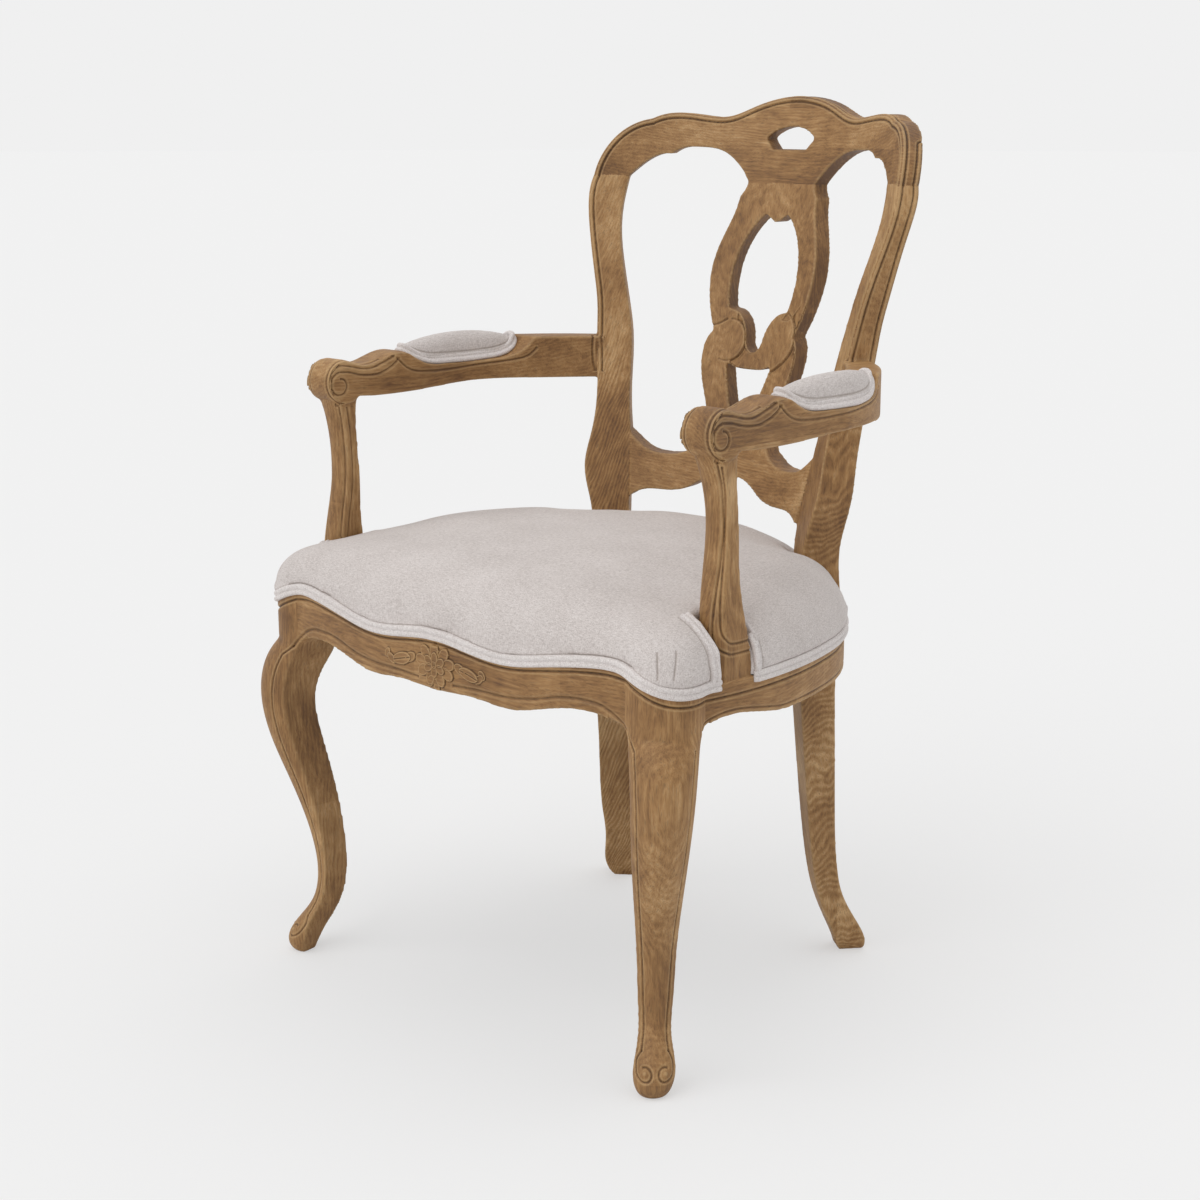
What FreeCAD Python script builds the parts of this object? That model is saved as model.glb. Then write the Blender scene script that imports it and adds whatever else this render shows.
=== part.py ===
import FreeCAD, Part
import math
import os
from FreeCAD import Vector

# Carved armchair, millimetres. +Z is up, the seat faces -Y, X = 0 is the mirror plane.
# The origin lies on the floor under the middle of the chair. "Right" pieces lie at +X.

# Seat frame heights
rail_bottom = 384.0
rail_height = 46.0
block_drop = 4.0            # straight part of a rear leg below the rails
block_rise = 6.0            # straight part of a rear leg above the rails
rail_top = rail_bottom + rail_height

# Seat outline in plan, right half, behind the front leg: (x, y)
seat_front_y = -316.0
seat_side = (317.0, -128.0)
seat_shoulder = (298.0, -28.0)
seat_quarter = (257.0, 60.0)
seat_rear = (193.0, 126.0)
seat_back_y = 190.0
rail_thickness = 32.0

# Front seat rail, right half, from the centre outwards: x and rise above the bottom or the top of the rails
front_rail_under = [(0, 0), (60, 2), (110, -1), (140, 4), (180, 13), (225, 14)]
front_rail_end_under = 3.0
front_rail_crest = [(0, 20), (50, 14), (110, 8), (150, 13), (205, 21)]
front_rail_end_crest = 21.0
corner_crest = [(285, 11), (301, 5), (318, 0.5)]
front_lip_thickness = 12.0

# Side seat rail, arched underside behind the front leg: y and rise above the bottom of the rails
side_rail_arch = [(-205, 12), (-160, 7), (-105, 0)]
side_rail_front_under = 5.0

# Front leg. Offsets run along the corner diagonal from the middle of the foot, outwards positive:
# (share of the height to the rails, ridge, side corners, inner corner, half width, lean)
front_foot = (283.0, -279.0)
front_leg_stations = [
    (0, 12, 0, -12, 14, 0),
    (0.052, 19, -2, -21, 22, 1),
    (0.104, 6, -8, -33, 21, 2),
    (0.156, -9, -19, -44, 18, 2.5),
    (0.234, -17, -27, -52, 19, 3.5),
    (0.365, -12, -26, -52, 21, 4),
    (0.573, 15, -9, -39, 26.5, 5),
    (0.703, 34, 5, -27, 30, 6),
    (0.833, 43, 13, -22, 33, 7.5),
    (0.924, 38, 7, -36, 35, 8.5),
]
front_block_ridge = 20.0
front_block_side = -8.0
front_block_half = 40.0
front_block_lean = 10.0

# Rear leg and stile, one post turned in plan. Front inner corner, width and depth:
# (share of the height of the leg below its block, or of the stile above it, x, y, width, depth)
rear_turn = 38.0
rear_leg_stations = [
    (0, 162, 179, 30, 30),
    (0.066, 160, 168, 36, 36),
    (0.158, 148, 159, 38, 31),
    (0.263, 142, 150, 40, 29),
    (0.474, 135, 142, 44, 33),
    (0.789, 131, 130, 47, 40),
]
rear_block = (131.0, 124.0)
rear_block_width = 48.0
rear_block_depth = 44.0
stile_stations = [
    (0.073, 130.8, 125.4, 47, 43.5),
    (0.147, 131, 127.8, 47, 43),
    (0.243, 136.3, 135, 56.5, 42),
    (0.35, 143, 143.5, 48, 39.5),
    (0.435, 150, 149, 41, 38),
    (0.542, 156, 159, 43, 35),
    (0.648, 166, 166, 40, 31),
    (0.733, 177, 169, 37, 30),
    (0.819, 189, 174.5, 37, 27),
    (0.904, 197, 184, 41, 25),
]
stile_seam = 905.0
stile_top_x = 196.0
stile_top_width = 44.0

# The back is hollow in plan and leans: its face is a leaning cylinder
back_radius = 350.0
back_face_y = 151.0         # face on the mirror plane, at the height below
back_face_z = 519.0
back_rake = 0.275           # backward travel per unit of height
back_thickness = 24.0
splat_thickness = 23.0
lower_rail_thickness = 26.0

# Outline of the crest on the face of the back, right half: x and share of its height above the stiles
crest_height = 95.0
crest_ridge = [
    (0, 1), (30, 0.968), (60, 0.874), (92, 0.747),
    (118, 0.753), (145, 0.789), (168, 0.779), (183, 0.716),
]
crest_shoulder = [(183, 0.716), (206, 0.621), (221, 0.432), (229, 0.179)]
crest_inner_bend = [(188, 0.105), (173, 0.242), (154, 0.274)]
crest_arch = [(154, 0.274), (146, 0.337), (122, 0.363), (94, 0.326), (72, 0.189)]
crest_eye_roof = [(0, 0.626), (18, 0.6), (36, 0.484)]
crest_eye_floor = (25, 0.347)

# Outline of the splat on the face of the back, right half: x and share of its height
splat_foot_seam = 585.0
splat_seam_drop = 6.0       # of the top of the splat below the tops of the stiles
splat_top_half = 51.0
splat_foot_half = 58.0
splat_neck = [(54, 0.968), (59, 0.946)]
splat_oval_side = [(59, 0.946), (60, 0.911), (67, 0.834), (76, 0.742), (78.5, 0.637), (74, 0.551), (61, 0.439)]
splat_lower_side = [(61, 0.439), (68, 0.408), (70.5, 0.366), (64, 0.248), (53, 0.162), (48, 0.086)]
oval_pendant = [(0, 0.854), (8, 0.866), (17, 0.882)]
oval_side = [(17, 0.882), (38, 0.799), (49, 0.669), (44, 0.525)]
oval_lobe = [(44, 0.525), (22, 0.49), (14, 0.436), (8, 0.379), (0, 0.366)]
fork_roof = [(0, 0.303), (18, 0.306), (34, 0.325)]
fork_side = [(34, 0.325), (24, 0.213), (0, 0.086)]

# Outline of the lower back rail, right half: x and rise above the foot of the splat
lower_rail_crown = [(70, -8), (98, -12), (118, -8), (134, 3)]
lower_rail_end_top = (160, 21)
lower_rail_end_bottom = (160, -73)
lower_rail_under = [(130, -66), (104, -55.5), (80, -55), (60, -51), (30, -34), (0, -29)]

# Arm, right one. Elevation: y and rise above the eye of its scroll. Plan: (x, y)
arm_eye_y = -205.0
arm_eye_z = 679.0
arm_scroll_radius = 25.5
arm_neck = [(-188, 21), (-172, 18), (-158, 20), (-143, 24.5)]
arm_pad_front = (-110.0, 27.0)
arm_pad_bed = [(-96, 18), (-80, 11), (-50, 8), (20, 8), (50, 13)]
arm_pad_rear = (72.0, 33.0)
arm_tail_rise = 32.0
arm_tail_depth = 48.0
arm_under = [(75, -18), (0, -16), (-100, -20)]
arm_outer_x = 311.5
arm_width = 45.0
arm_bend_y = -15.0
arm_outer_bend = (275.0, 89.0)
arm_inner_bend = (239.0, 70.0)
arm_tail_width = 30.0
arm_tail_sink = 8.0
arm_pad_height = 35.0
arm_pad_half = 20.0
pad_side_share = 0.45       # of the height of a pad, up to where its crown springs

# Arm post, right one: (share of its height, inner x, outer x, front y, rear y)
arm_post_stations = [
    (0.167, 277, 314, -217, -173),
    (0.333, 276, 310, -214, -179),
    (0.542, 275, 307, -207, -181),
    (0.75, 275, 307, -208, -184),
    (0.875, 272, 308, -214, -187),
]
arm_post_foot = (277.0, 315.0, -219.0, -170.0)
arm_post_head = (268.0, 310.0, -226.0, -186.0)
arm_post_head_drop = 9.0    # of the end of the post below the eye of the scroll
arm_post_bulge = 9.0        # round of the front face

# Joints
dowel_diameter = 8.0
dowel_length = 30.0
dowel_depth = 14.0          # first dowel of a seat joint, below the top of the rails
dowel_spacing = 14.0
fit_gap = 0.1
front_block_reach = 36.0    # thickness of a corner block in front of the leg
rear_block_reach = 30.0
block_half_length = 64.0
block_lift = 16.0           # of the corner blocks above the bottom of the rails
block_height = 18.0
screw_diameter = 4.0
screw_length = 34.0
screw_bite = 18.0           # length of a screw in the rail or leg behind the block
screw_head_diameter = 8.0
screw_head_height = 3.0
front_screw_x = 212.0
side_screw_y = -190.0
rear_screw_places = (12.0, 36.0)
crest_dowel_offset = 18.0   # from the front inner corner of the stile, across it
splat_dowel_x = 25.0
lower_dowel_drop = 33.0     # below the foot of the splat
lower_dowel_inset = 13.0    # behind the front inner corner of the stile
lower_dowel_turn = 28.0

# Upholstery
webbing_width = 50.0
webbing_thickness = 1.5
webbing_margin = 8.0
webbing_count = 4
webbing_long_pitch = 76.0
webbing_cross_pitch = 70.0
webbing_cross_middle = -38.0
hessian_thickness = 1.0
cover_thickness = 2.0
seat_crown = 90.0           # crown of the cover above the rails
seat_side_height = 76.0     # of the drawn-in sides, up to the crown
seat_crown_radius = 1900.0
seat_crown_y = -100.0
soft_gap = 0.3
post_swell = 2.2            # of arm posts and stiles between their sections
welt_height = 11.0
welt_thickness = 3.5
arm_welt_height = 5.0
arm_welt_thickness = 2.5
dust_cover_thickness = 1.0

HALF_SQRT = math.sqrt(0.5)
UP = Vector(0, 0, 1)
MIRROR_PLANE = Vector(1, 0, 0)
ORIGIN = Vector(0, 0, 0)
FAR = 600.0                 # half side of the large cutting blocks
overcut = 1.0               # of a cutter beyond the face it cuts through
seat_ring_margin = 3 * welt_thickness    # of the cutting rings outside the seat outline


def curve(points):
    """A line through two points, a smooth curve through more."""
    if len(points) == 2:
        return Part.LineSegment(*points).toShape()
    spline = Part.BSplineCurve()
    spline.interpolate(points)
    return spline.toShape()


def arc(start, middle, end):
    return Part.Arc(start, middle, end).toShape()


def closed_wire(corners):
    return Part.makePolygon(corners + corners[:1])


def mirrored(shape):
    return shape.mirror(ORIGIN, MIRROR_PLANE)


def risen(points, base, height=1.0):
    """Outline points given as x and a rise, or a share of a height, above a base."""
    return [(x, base + height * rise) for x, rise in points]


def flip(points):
    """The same stretch of an outline on the other side of the mirror plane, run backwards."""
    return [(-x, z) for x, z in reversed(points)]


def symmetric(points):
    """A half outline that starts on the mirror plane, carried over to the other side."""
    return flip(points)[:-1] + points


def block(x0, x1, y0, y1, z0, z1):
    return Part.makeBox(x1 - x0, y1 - y0, z1 - z0, Vector(x0, y0, z0))


def pin(centre, direction, diameter, length):
    """A straight pin whose middle lies at a point."""
    axis = Vector(direction).normalize()
    return Part.makeCylinder(diameter / 2, length, centre - axis * (length / 2), axis)


def drilled(shape, pins):
    """A piece with a bore, one fit gap wider and longer, for every pin."""
    for centre, direction in pins:
        bore = pin(centre, direction, dowel_diameter + 2 * fit_gap, dowel_length + 2 * fit_gap)
        shape = shape.cut(bore)
    return shape


def dowels(pins):
    return Part.makeCompound([pin(c, d, dowel_diameter, dowel_length) for c, d in pins])


def both_sides(pins):
    return pins + [(Vector(-c.x, c.y, c.z), Vector(-d.x, d.y, d.z)) for c, d in pins]


# Front legs


def front_leg_point(offset, sideways, z):
    x = front_foot[0] + (offset + sideways) * HALF_SQRT
    y = front_foot[1] + (sideways - offset) * HALF_SQRT
    return Vector(x, y, z)


def front_leg_section(z, ridge, side, inner, half, lean):
    """A rounded outer face between two side corners, and two flat inner faces."""
    front = front_leg_point(side, lean - half, z)
    nose = front_leg_point(ridge, lean, z)
    rear = front_leg_point(side, lean + half, z)
    heart = front_leg_point(inner, lean, z)
    return Part.Wire([arc(front, nose, rear), curve([rear, heart]), curve([heart, front])])


front_block_inner = front_block_side - front_block_half
front_block_shape = (front_block_ridge, front_block_side, front_block_inner, front_block_half, front_block_lean)
front_joint = front_leg_point(front_block_inner, front_block_lean, 0)
front_rail_face_y = front_leg_point(front_block_side, front_block_lean - front_block_half, 0).y
side_rail_face_x = front_leg_point(front_block_side, front_block_lean + front_block_half, 0).x


def make_front_leg():
    sections = [front_leg_section(rail_bottom * share, *shape) for share, *shape in front_leg_stations]
    sections.append(front_leg_section(rail_bottom, *front_block_shape))
    leg = Part.makeLoft(sections, True, False)
    head = Part.Face(front_leg_section(rail_bottom, *front_block_shape)).extrude(UP * rail_height)
    corner = block(front_joint.x, FAR, -FAR, front_joint.y, 0, FAR)
    return leg.fuse(head).fuse(front_lip(0).common(corner)).removeSplitter()


# Outline of the seat


def seat_wire(z, scale=1.0):
    """The seat outline at one height, drawn towards or away from its middle by a scale."""
    middle_y = (seat_front_y + seat_back_y) / 2

    def at(x, y):
        return Vector(x * scale, middle_y + (y - middle_y) * scale, z)

    ridge, side, inner, half, lean = front_block_shape
    corner = [front_leg_point(side, lean - half, 0), front_leg_point(ridge, lean, 0),
              front_leg_point(side, lean + half, 0)]
    right = [at(p.x, p.y) for p in corner]
    right += [at(*seat_side), at(*seat_shoulder), at(*seat_quarter), at(*seat_rear)]
    left = [Vector(-p.x, p.y, p.z) for p in right]
    return Part.Wire([
        arc(left[0], at(0, seat_front_y), right[0]),
        arc(*right[0:3]),
        arc(*right[2:5]),
        arc(*right[4:7]),
        arc(right[6], at(0, seat_back_y), left[6]),
        arc(*reversed(left[4:7])),
        arc(*reversed(left[2:5])),
        arc(*reversed(left[0:3])),
    ])


def seat_prism(offset, z0, z1):
    """The seat outline, moved outwards by an offset, as an upright solid."""
    face = Part.Face(seat_wire(z0))
    if offset:
        face = Part.Face(face.makeOffset2D(offset).OuterWire)
    return face.extrude(UP * (z1 - z0))


def seat_ring(outer, inner, z0, z1):
    return seat_prism(outer, z0, z1).cut(seat_prism(inner, z0 - overcut, z1 + overcut))


def elevation_prism(segments):
    """An outline in x and z, run through the whole depth of the chair."""
    edges = [curve([Vector(x, -FAR, z) for x, z in points]) for points in segments]
    return Part.Face(Part.Wire(edges)).extrude(Vector(0, 2 * FAR, 0))


# Rear legs with their stiles

turn = math.radians(rear_turn)
across = Vector(math.cos(turn), -math.sin(turn), 0)
inwards = Vector(math.sin(turn), math.cos(turn), 0)


def rear_section(z, x, y, width, depth):
    corner = Vector(x, y, z)
    along = across * width
    back = inwards * depth
    return closed_wire([corner, corner + along, corner + along + back, corner + back])


def back_face(x, z):
    """Depth of the face of the back at a place in the elevation."""
    hollow = back_radius - math.sqrt(back_radius ** 2 - x ** 2)
    return back_face_y + back_rake * (z - back_face_z) - hollow


block_base = rail_bottom - block_drop
block_top = rail_top + block_rise
rear_block_shape = (*rear_block, rear_block_width, rear_block_depth)
stile_sections = [(block_top + (stile_seam - block_top) * share, *shape) for share, *shape in stile_stations]
splat_seam = stile_seam - splat_seam_drop
splat_height = splat_seam - splat_foot_seam
lower_dowel_z = splat_foot_seam - lower_dowel_drop


def stile_corner(z):
    """Front inner corner, width and depth of the stile at a height between two stations."""
    for low, high in zip(stile_sections, stile_sections[1:]):
        if low[0] <= z <= high[0]:
            share = (z - low[0]) / (high[0] - low[0])
            x, y, width, depth = [a + (b - a) * share for a, b in zip(low[1:], high[1:])]
            return Vector(x, y, z), width, depth


stile_top_y = back_face(stile_top_x, stile_seam)
stile_top = (stile_seam, stile_top_x, stile_top_y, stile_top_width, back_thickness)


def make_rear_leg():
    base = rear_section(block_base, *rear_block_shape)
    top = rear_section(block_top, *rear_block_shape)
    sections = [rear_section(block_base * share, *shape) for share, *shape in rear_leg_stations]
    leg = Part.makeLoft(sections + [base], True, False)
    middle = Part.Face(base).extrude(UP * (block_top - block_base))
    sections = [top] + [rear_section(*s) for s in stile_sections] + [rear_section(*stile_top)]
    stile = Part.makeLoft(sections, True, False)
    return leg.fuse(middle).fuse(stile).removeSplitter()


# Back between the stiles

back_slope = Vector(0, back_rake, 1)
back_span = math.radians(52)
back_margin = 20.0          # of the slab above and below the pieces cut from it
near_plane = 0.6            # cutting planes in front of and behind the face, as shares of its radius
far_plane = 1.2


def back_slab(thickness, z0, z1):
    """The hollow, leaning board that a piece of the back is sawn from."""
    axis_y = back_face_y + back_rake * (z0 - back_face_z) - back_radius

    def at(radius, angle):
        return Vector(radius * math.sin(angle), axis_y + radius * math.cos(angle), z0)

    rear = back_radius + thickness
    edges = [
        arc(at(back_radius, -back_span), at(back_radius, 0), at(back_radius, back_span)),
        curve([at(back_radius, back_span), at(rear, back_span)]),
        arc(at(rear, back_span), at(rear, 0), at(rear, -back_span)),
        curve([at(rear, -back_span), at(back_radius, -back_span)]),
    ]
    return Part.Face(Part.Wire(edges)).extrude(back_slope * (z1 - z0))


def back_cutter(segments):
    """A solid with radial sides through an outline on the face of the back."""

    def wire(share):
        reach = back_radius * share

        def at(x, z):
            sideways = reach * x / math.sqrt(back_radius ** 2 - x ** 2)
            return Vector(sideways, back_face(0, z) - back_radius + reach, z)

        return Part.Wire([curve([at(x, z) for x, z in points]) for points in segments])

    return Part.makeLoft([wire(near_plane), wire(far_plane)], True, True)


def back_piece(thickness, segments, holes=()):
    heights = [z for points in segments for x, z in points]
    slab = back_slab(thickness, min(heights) - back_margin, max(heights) + back_margin)
    piece = slab.common(back_cutter(segments))
    for hole in holes:
        piece = piece.cut(back_cutter(hole))
    return piece


def closed_symmetric(crown, right_segments, bottom):
    """A whole outline from its crown, the stretches of its right side and its bottom stretch."""
    left = [flip(points) for points in reversed(right_segments)]
    return [crown] + right_segments + [bottom] + left


def stile_outer_x():
    return stile_top_x + stile_top_width * across.x


def crest_line(points):
    return risen(points, stile_seam, crest_height)


def splat_line(points):
    return risen(points, splat_foot_seam, splat_height)


def make_crest():
    shoulder_end = (stile_outer_x(), stile_seam)
    inner_end = (stile_top_x, stile_seam)
    throat = (splat_top_half, splat_seam)
    right = [
        crest_line(crest_shoulder) + [shoulder_end],
        [shoulder_end, inner_end],
        [inner_end] + crest_line(crest_inner_bend),
        crest_line(crest_arch) + [throat],
    ]
    seam = [throat, (-splat_top_half, splat_seam)]
    roof = crest_line(crest_eye_roof)
    side = [roof[-1]] + crest_line([crest_eye_floor])
    eye = [symmetric(roof), side, [side[1], flip(side)[0]], flip(side)]
    return back_piece(back_thickness, closed_symmetric(symmetric(crest_line(crest_ridge)), right, seam), [eye])


def upturned(points):
    """A half outline that ends on the mirror plane, carried over to the other side."""
    return symmetric(points[::-1])[::-1]


def make_splat():
    throat = (splat_top_half, splat_seam)
    foot = (splat_foot_half, splat_foot_seam)
    right = [
        [throat] + splat_line(splat_neck),
        splat_line(splat_oval_side),
        splat_line(splat_lower_side) + [foot],
    ]
    outline = closed_symmetric([flip([throat])[0], throat], right, [foot, flip([foot])[0]])
    pendant = symmetric(splat_line(oval_pendant))
    oval = closed_symmetric(pendant, [splat_line(oval_side)], upturned(splat_line(oval_lobe)))
    roof = symmetric(splat_line(fork_roof))
    fork = closed_symmetric(roof, [], upturned(splat_line(fork_side)))
    return back_piece(splat_thickness, outline, [oval, fork])


def make_lower_rail(stiles):
    foot = (splat_foot_half, splat_foot_seam)
    end = risen([lower_rail_end_top, lower_rail_end_bottom], splat_foot_seam)
    under = risen(lower_rail_under, splat_foot_seam)
    right = [[foot] + risen(lower_rail_crown, splat_foot_seam) + end[:1], end, [end[1], under[0]]]
    under = upturned(under)
    rail = back_piece(lower_rail_thickness, closed_symmetric([flip([foot])[0], foot], right, under))
    right_end = beyond(stile_corner(lower_dowel_z)[0], across)
    for cutter in [right_end, mirrored(right_end)] + stiles:
        rail = rail.cut(cutter)
    return max(rail.Solids, key=lambda solid: solid.Volume)


# Seat rails, sawn from one ring at the leg joints


def beyond(point, direction):
    """A large solid on one side of an upright plane through a point."""
    slab = Part.makeBox(2 * FAR, 2 * FAR, 2 * FAR, Vector(-FAR, 0, -FAR))
    angle = math.degrees(math.atan2(-direction.x, direction.y))
    slab.rotate(ORIGIN, UP, angle)
    slab.translate(Vector(point.x, point.y, rail_bottom))
    return slab


rear_inner = Vector(*rear_block, 0)
rear_outer = rear_inner + across * rear_block_width
block_bottom = rail_bottom + block_lift


def front_rail_outline(under, over):
    end = front_joint.x
    return [
        symmetric(under),
        [under[-1], (end, over[-1][1])],
        symmetric(over)[::-1],
        [(-end, over[-1][1]), (-end, under[-1][1])],
    ]


def make_front_rail():
    end = front_joint.x
    under = risen(front_rail_under + [(end, front_rail_end_under)], rail_bottom)
    body = seat_ring(0, -rail_thickness, 0, rail_top).common(
        elevation_prism(front_rail_outline(under, [(0, rail_top), (end, rail_top)])))
    between_legs = block(-end, end, -FAR, front_joint.y, 0, FAR)
    return body.fuse(front_lip(0)).common(between_legs).removeSplitter()


def crest_band(low, high):
    """The stretch between two levels above the shaped upper edge of the front rail and leg corners."""
    edge = front_rail_crest + [(front_joint.x, front_rail_end_crest)] + corner_crest
    edge = risen(edge + [(seat_side[0] + 2 * welt_thickness, 0)], rail_top)
    bottom = symmetric([(x, z + low) for x, z in edge])
    top = symmetric([(x, z + high) for x, z in edge])
    band = elevation_prism([bottom, [bottom[-1], top[-1]], top[::-1], [top[0], bottom[0]]])
    return band.common(block(-FAR, FAR, -FAR, arm_post_foot[2], 0, FAR))


def front_lip(gap):
    """The thin upper edge of the front rail and the leg corners, in front of the cushion."""
    return seat_ring(gap, -front_lip_thickness - gap, 0, 2 * rail_top).common(crest_band(-2 * welt_height, gap))


def make_side_rail():
    ring = seat_ring(0, -rail_thickness, rail_bottom, rail_top)
    right_half = block(0, FAR, front_joint.y, FAR, 0, FAR)
    line = [(front_joint.y, side_rail_front_under)] + side_rail_arch
    line = [Vector(0, y, rail_bottom + rise) for y, rise in line]
    low_front = Vector(0, front_joint.y, rail_bottom - block_drop)
    low_rear = Vector(0, side_rail_arch[-1][0], rail_bottom - block_drop)
    edges = [
        curve(line),
        curve([line[-1], low_rear]),
        curve([low_rear, low_front]),
        curve([low_front, line[0]]),
    ]
    scoop = Part.Face(Part.Wire(edges)).extrude(Vector(FAR, 0, 0))
    return ring.common(right_half).common(beyond(rear_outer, across)).cut(scoop)


def make_back_rail():
    ring = seat_ring(0, -rail_thickness, rail_bottom, rail_top)
    rear_half = block(-FAR, FAR, seat_quarter[1], FAR, 0, FAR)
    piece = ring.common(rear_half).common(beyond(rear_inner, across * -1))
    return piece.common(beyond(Vector(-rear_inner.x, rear_inner.y, 0), Vector(across.x, -across.y, 0)))


def make_corner_block(point, direction, reach, leg):
    """A block inside the rails that fills a corner up to a slanting face."""
    face = point - direction * reach
    sideways = Vector(-direction.y, direction.x, 0)
    piece = seat_prism(-rail_thickness, block_bottom, block_bottom + block_height)
    piece = piece.common(beyond(face, direction))
    piece = piece.cut(beyond(point + sideways * block_half_length, sideways))
    piece = piece.cut(beyond(point - sideways * block_half_length, sideways * -1))
    piece = piece.common(block(0, FAR, -FAR, FAR, 0, FAR)).cut(leg)
    return max(piece.Solids, key=lambda solid: solid.Volume)


def screw_places():
    """Entry point into the rail or leg, and driving direction, of the screws on the right."""
    z = block_bottom + block_height / 2
    inner = seat_prism(-rail_thickness, block_bottom, block_bottom + block_height)
    starts = [(Vector(front_screw_x, front_joint.y, z), Vector(0, -1, 0)),
              (Vector(front_screw_x, side_screw_y, z), Vector(1, 0, 0))]
    places = []
    for start, direction in starts:
        path = curve([start, start + direction * FAR]).common(inner)
        places.append((start + direction * path.Length, direction))
    for place in rear_screw_places:
        places.append((rear_inner + across * place + UP * z, inwards))
    return places


def screw(entry, direction, gap=0.0, recess=0.0):
    """A screw driven through a block; with a gap and a recess, the hole for it."""
    tip = entry + direction * (screw_bite + gap)
    shank = Part.makeCylinder(screw_diameter / 2 + gap, screw_length + 2 * gap, tip, direction * -1)
    seat = entry - direction * (screw_length - screw_bite - gap)
    head_height = screw_head_height + gap + recess
    head = Part.makeCylinder(screw_head_diameter / 2 + gap, head_height, seat, direction * -1)
    return shank.fuse(head).removeSplitter()


# Arms and arm posts


def arm_elevation():
    slant = arm_scroll_radius * HALF_SQRT
    tail_y = arm_seat.y + arm_stile_depth

    def at(y, rise):
        return Vector(0, y, arm_eye_z + rise)

    belly = at(arm_eye_y + slant, -slant)
    nose = at(arm_eye_y - arm_scroll_radius, 0)
    crown = at(arm_eye_y, arm_scroll_radius)
    tail_high = at(tail_y, arm_tail_rise)
    tail_low = at(tail_y, arm_tail_rise - arm_tail_depth)
    edges = [
        curve([tail_low] + [at(*p) for p in arm_under] + [belly]),
        arc(belly, at(arm_eye_y, -arm_scroll_radius), nose),
        arc(nose, at(arm_eye_y - slant, slant), crown),
        curve([crown] + [at(*p) for p in arm_neck + [arm_pad_front]]),
        curve([at(*p) for p in [arm_pad_front] + arm_pad_bed + [arm_pad_rear]]),
        curve([at(*arm_pad_rear), tail_high]),
        curve([tail_high, tail_low]),
    ]
    return Part.Face(Part.Wire(edges)).extrude(Vector(FAR, 0, 0))


arm_tail_z = arm_eye_z + arm_tail_rise - arm_tail_depth / 2
arm_corner, arm_stile_width, arm_stile_depth = stile_corner(arm_tail_z)
arm_seat = arm_corner + across * arm_stile_width + inwards * (arm_stile_depth / 2)


def arm_plan():
    tail = Vector(arm_seat.x, arm_seat.y, 0) - across * arm_tail_sink
    tail_outer = tail + inwards * (arm_tail_width / 2)
    tail_inner = tail - inwards * (arm_tail_width / 2)
    inner_x = arm_outer_x - arm_width
    front_y = arm_eye_y - 2 * arm_scroll_radius
    outer_start = Vector(arm_outer_x, arm_bend_y, 0)
    inner_start = Vector(inner_x, arm_bend_y, 0)
    edges = [
        curve([Vector(arm_outer_x, front_y, 0), outer_start]),
        arc(outer_start, Vector(*arm_outer_bend, 0), tail_outer),
        curve([tail_outer, tail_inner]),
        arc(tail_inner, Vector(*arm_inner_bend, 0), inner_start),
        curve([inner_start, Vector(inner_x, front_y, 0)]),
        curve([Vector(inner_x, front_y, 0), Vector(arm_outer_x, front_y, 0)]),
    ]
    return Part.Face(Part.Wire(edges)).extrude(UP * (2 * FAR))


def make_arm(stile):
    arm = arm_elevation().common(arm_plan()).cut(stile)
    return max(arm.Solids, key=lambda solid: solid.Volume)


def post_section(z, x0, x1, y0, y1):
    """A post across its height: flat sides and rear, rounded front."""
    side_y = y0 + arm_post_bulge
    left, right = Vector(x0, side_y, z), Vector(x1, side_y, z)
    rear_left, rear_right = Vector(x0, y1, z), Vector(x1, y1, z)
    return Part.Wire([
        arc(left, Vector((x0 + x1) / 2, y0, z), right),
        curve([right, rear_right]),
        curve([rear_right, rear_left]),
        curve([rear_left, left]),
    ])


def make_arm_post(arm):
    height = arm_eye_z - arm_post_head_drop - rail_top
    stations = [(0, *arm_post_foot)] + arm_post_stations + [(1, *arm_post_head)]
    sections = [post_section(rail_top + height * share, *shape) for share, *shape in stations]
    post = Part.makeLoft(sections, True, False).cut(arm)
    return min(post.Solids, key=lambda solid: solid.CenterOfMass.z)


# Upholstery

# Drawn-in sides of the seat: share of their height, share of the seat outline
seat_form = [(0, 1.0), (0.25, 1.012), (0.5, 1.0), (0.7, 0.96), (0.86, 0.9), (1.0, 0.82), (1.25, 0.68)]


def seat_dome(inset):
    """A crowned seat form on the rails, drawn in by an inset all round."""
    shrink = 1 - inset / seat_side[0]
    sides = Part.makeLoft([seat_wire(rail_top + seat_side_height * high, wide * shrink)
                           for high, wide in seat_form], True, False)
    middle = Vector(0, seat_crown_y, rail_top + seat_crown - seat_crown_radius)
    return sides.common(Part.makeSphere(seat_crown_radius - inset, middle))


def uprights(gap):
    """What stands up at the edge of the seat: lip of the front rail, arm posts and stiles."""
    lip = seat_ring(seat_ring_margin, -front_lip_thickness - gap, 0, 2 * rail_top)
    lip = lip.common(crest_band(-2 * welt_height, gap))
    x0, x1, y0, y1 = arm_post_foot
    room = gap + post_swell
    post = block(x0 - room, FAR, y0 - room, y1 + room, 0, FAR)
    corner = rear_inner - across * room - inwards * room
    width = rear_block_width + 2 * room
    depth = rear_block_depth + 2 * room
    stile = Part.Face(rear_section(0, corner.x, corner.y, width, depth)).extrude(UP * FAR)
    return [lip, post, mirrored(post), stile, mirrored(stile)]


def seat_clearances(gap):
    """Everything that the soft seat keeps clear of."""
    return uprights(gap) + [seat_ring(seat_ring_margin, -rail_thickness, 0, rail_top + gap)]


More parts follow.
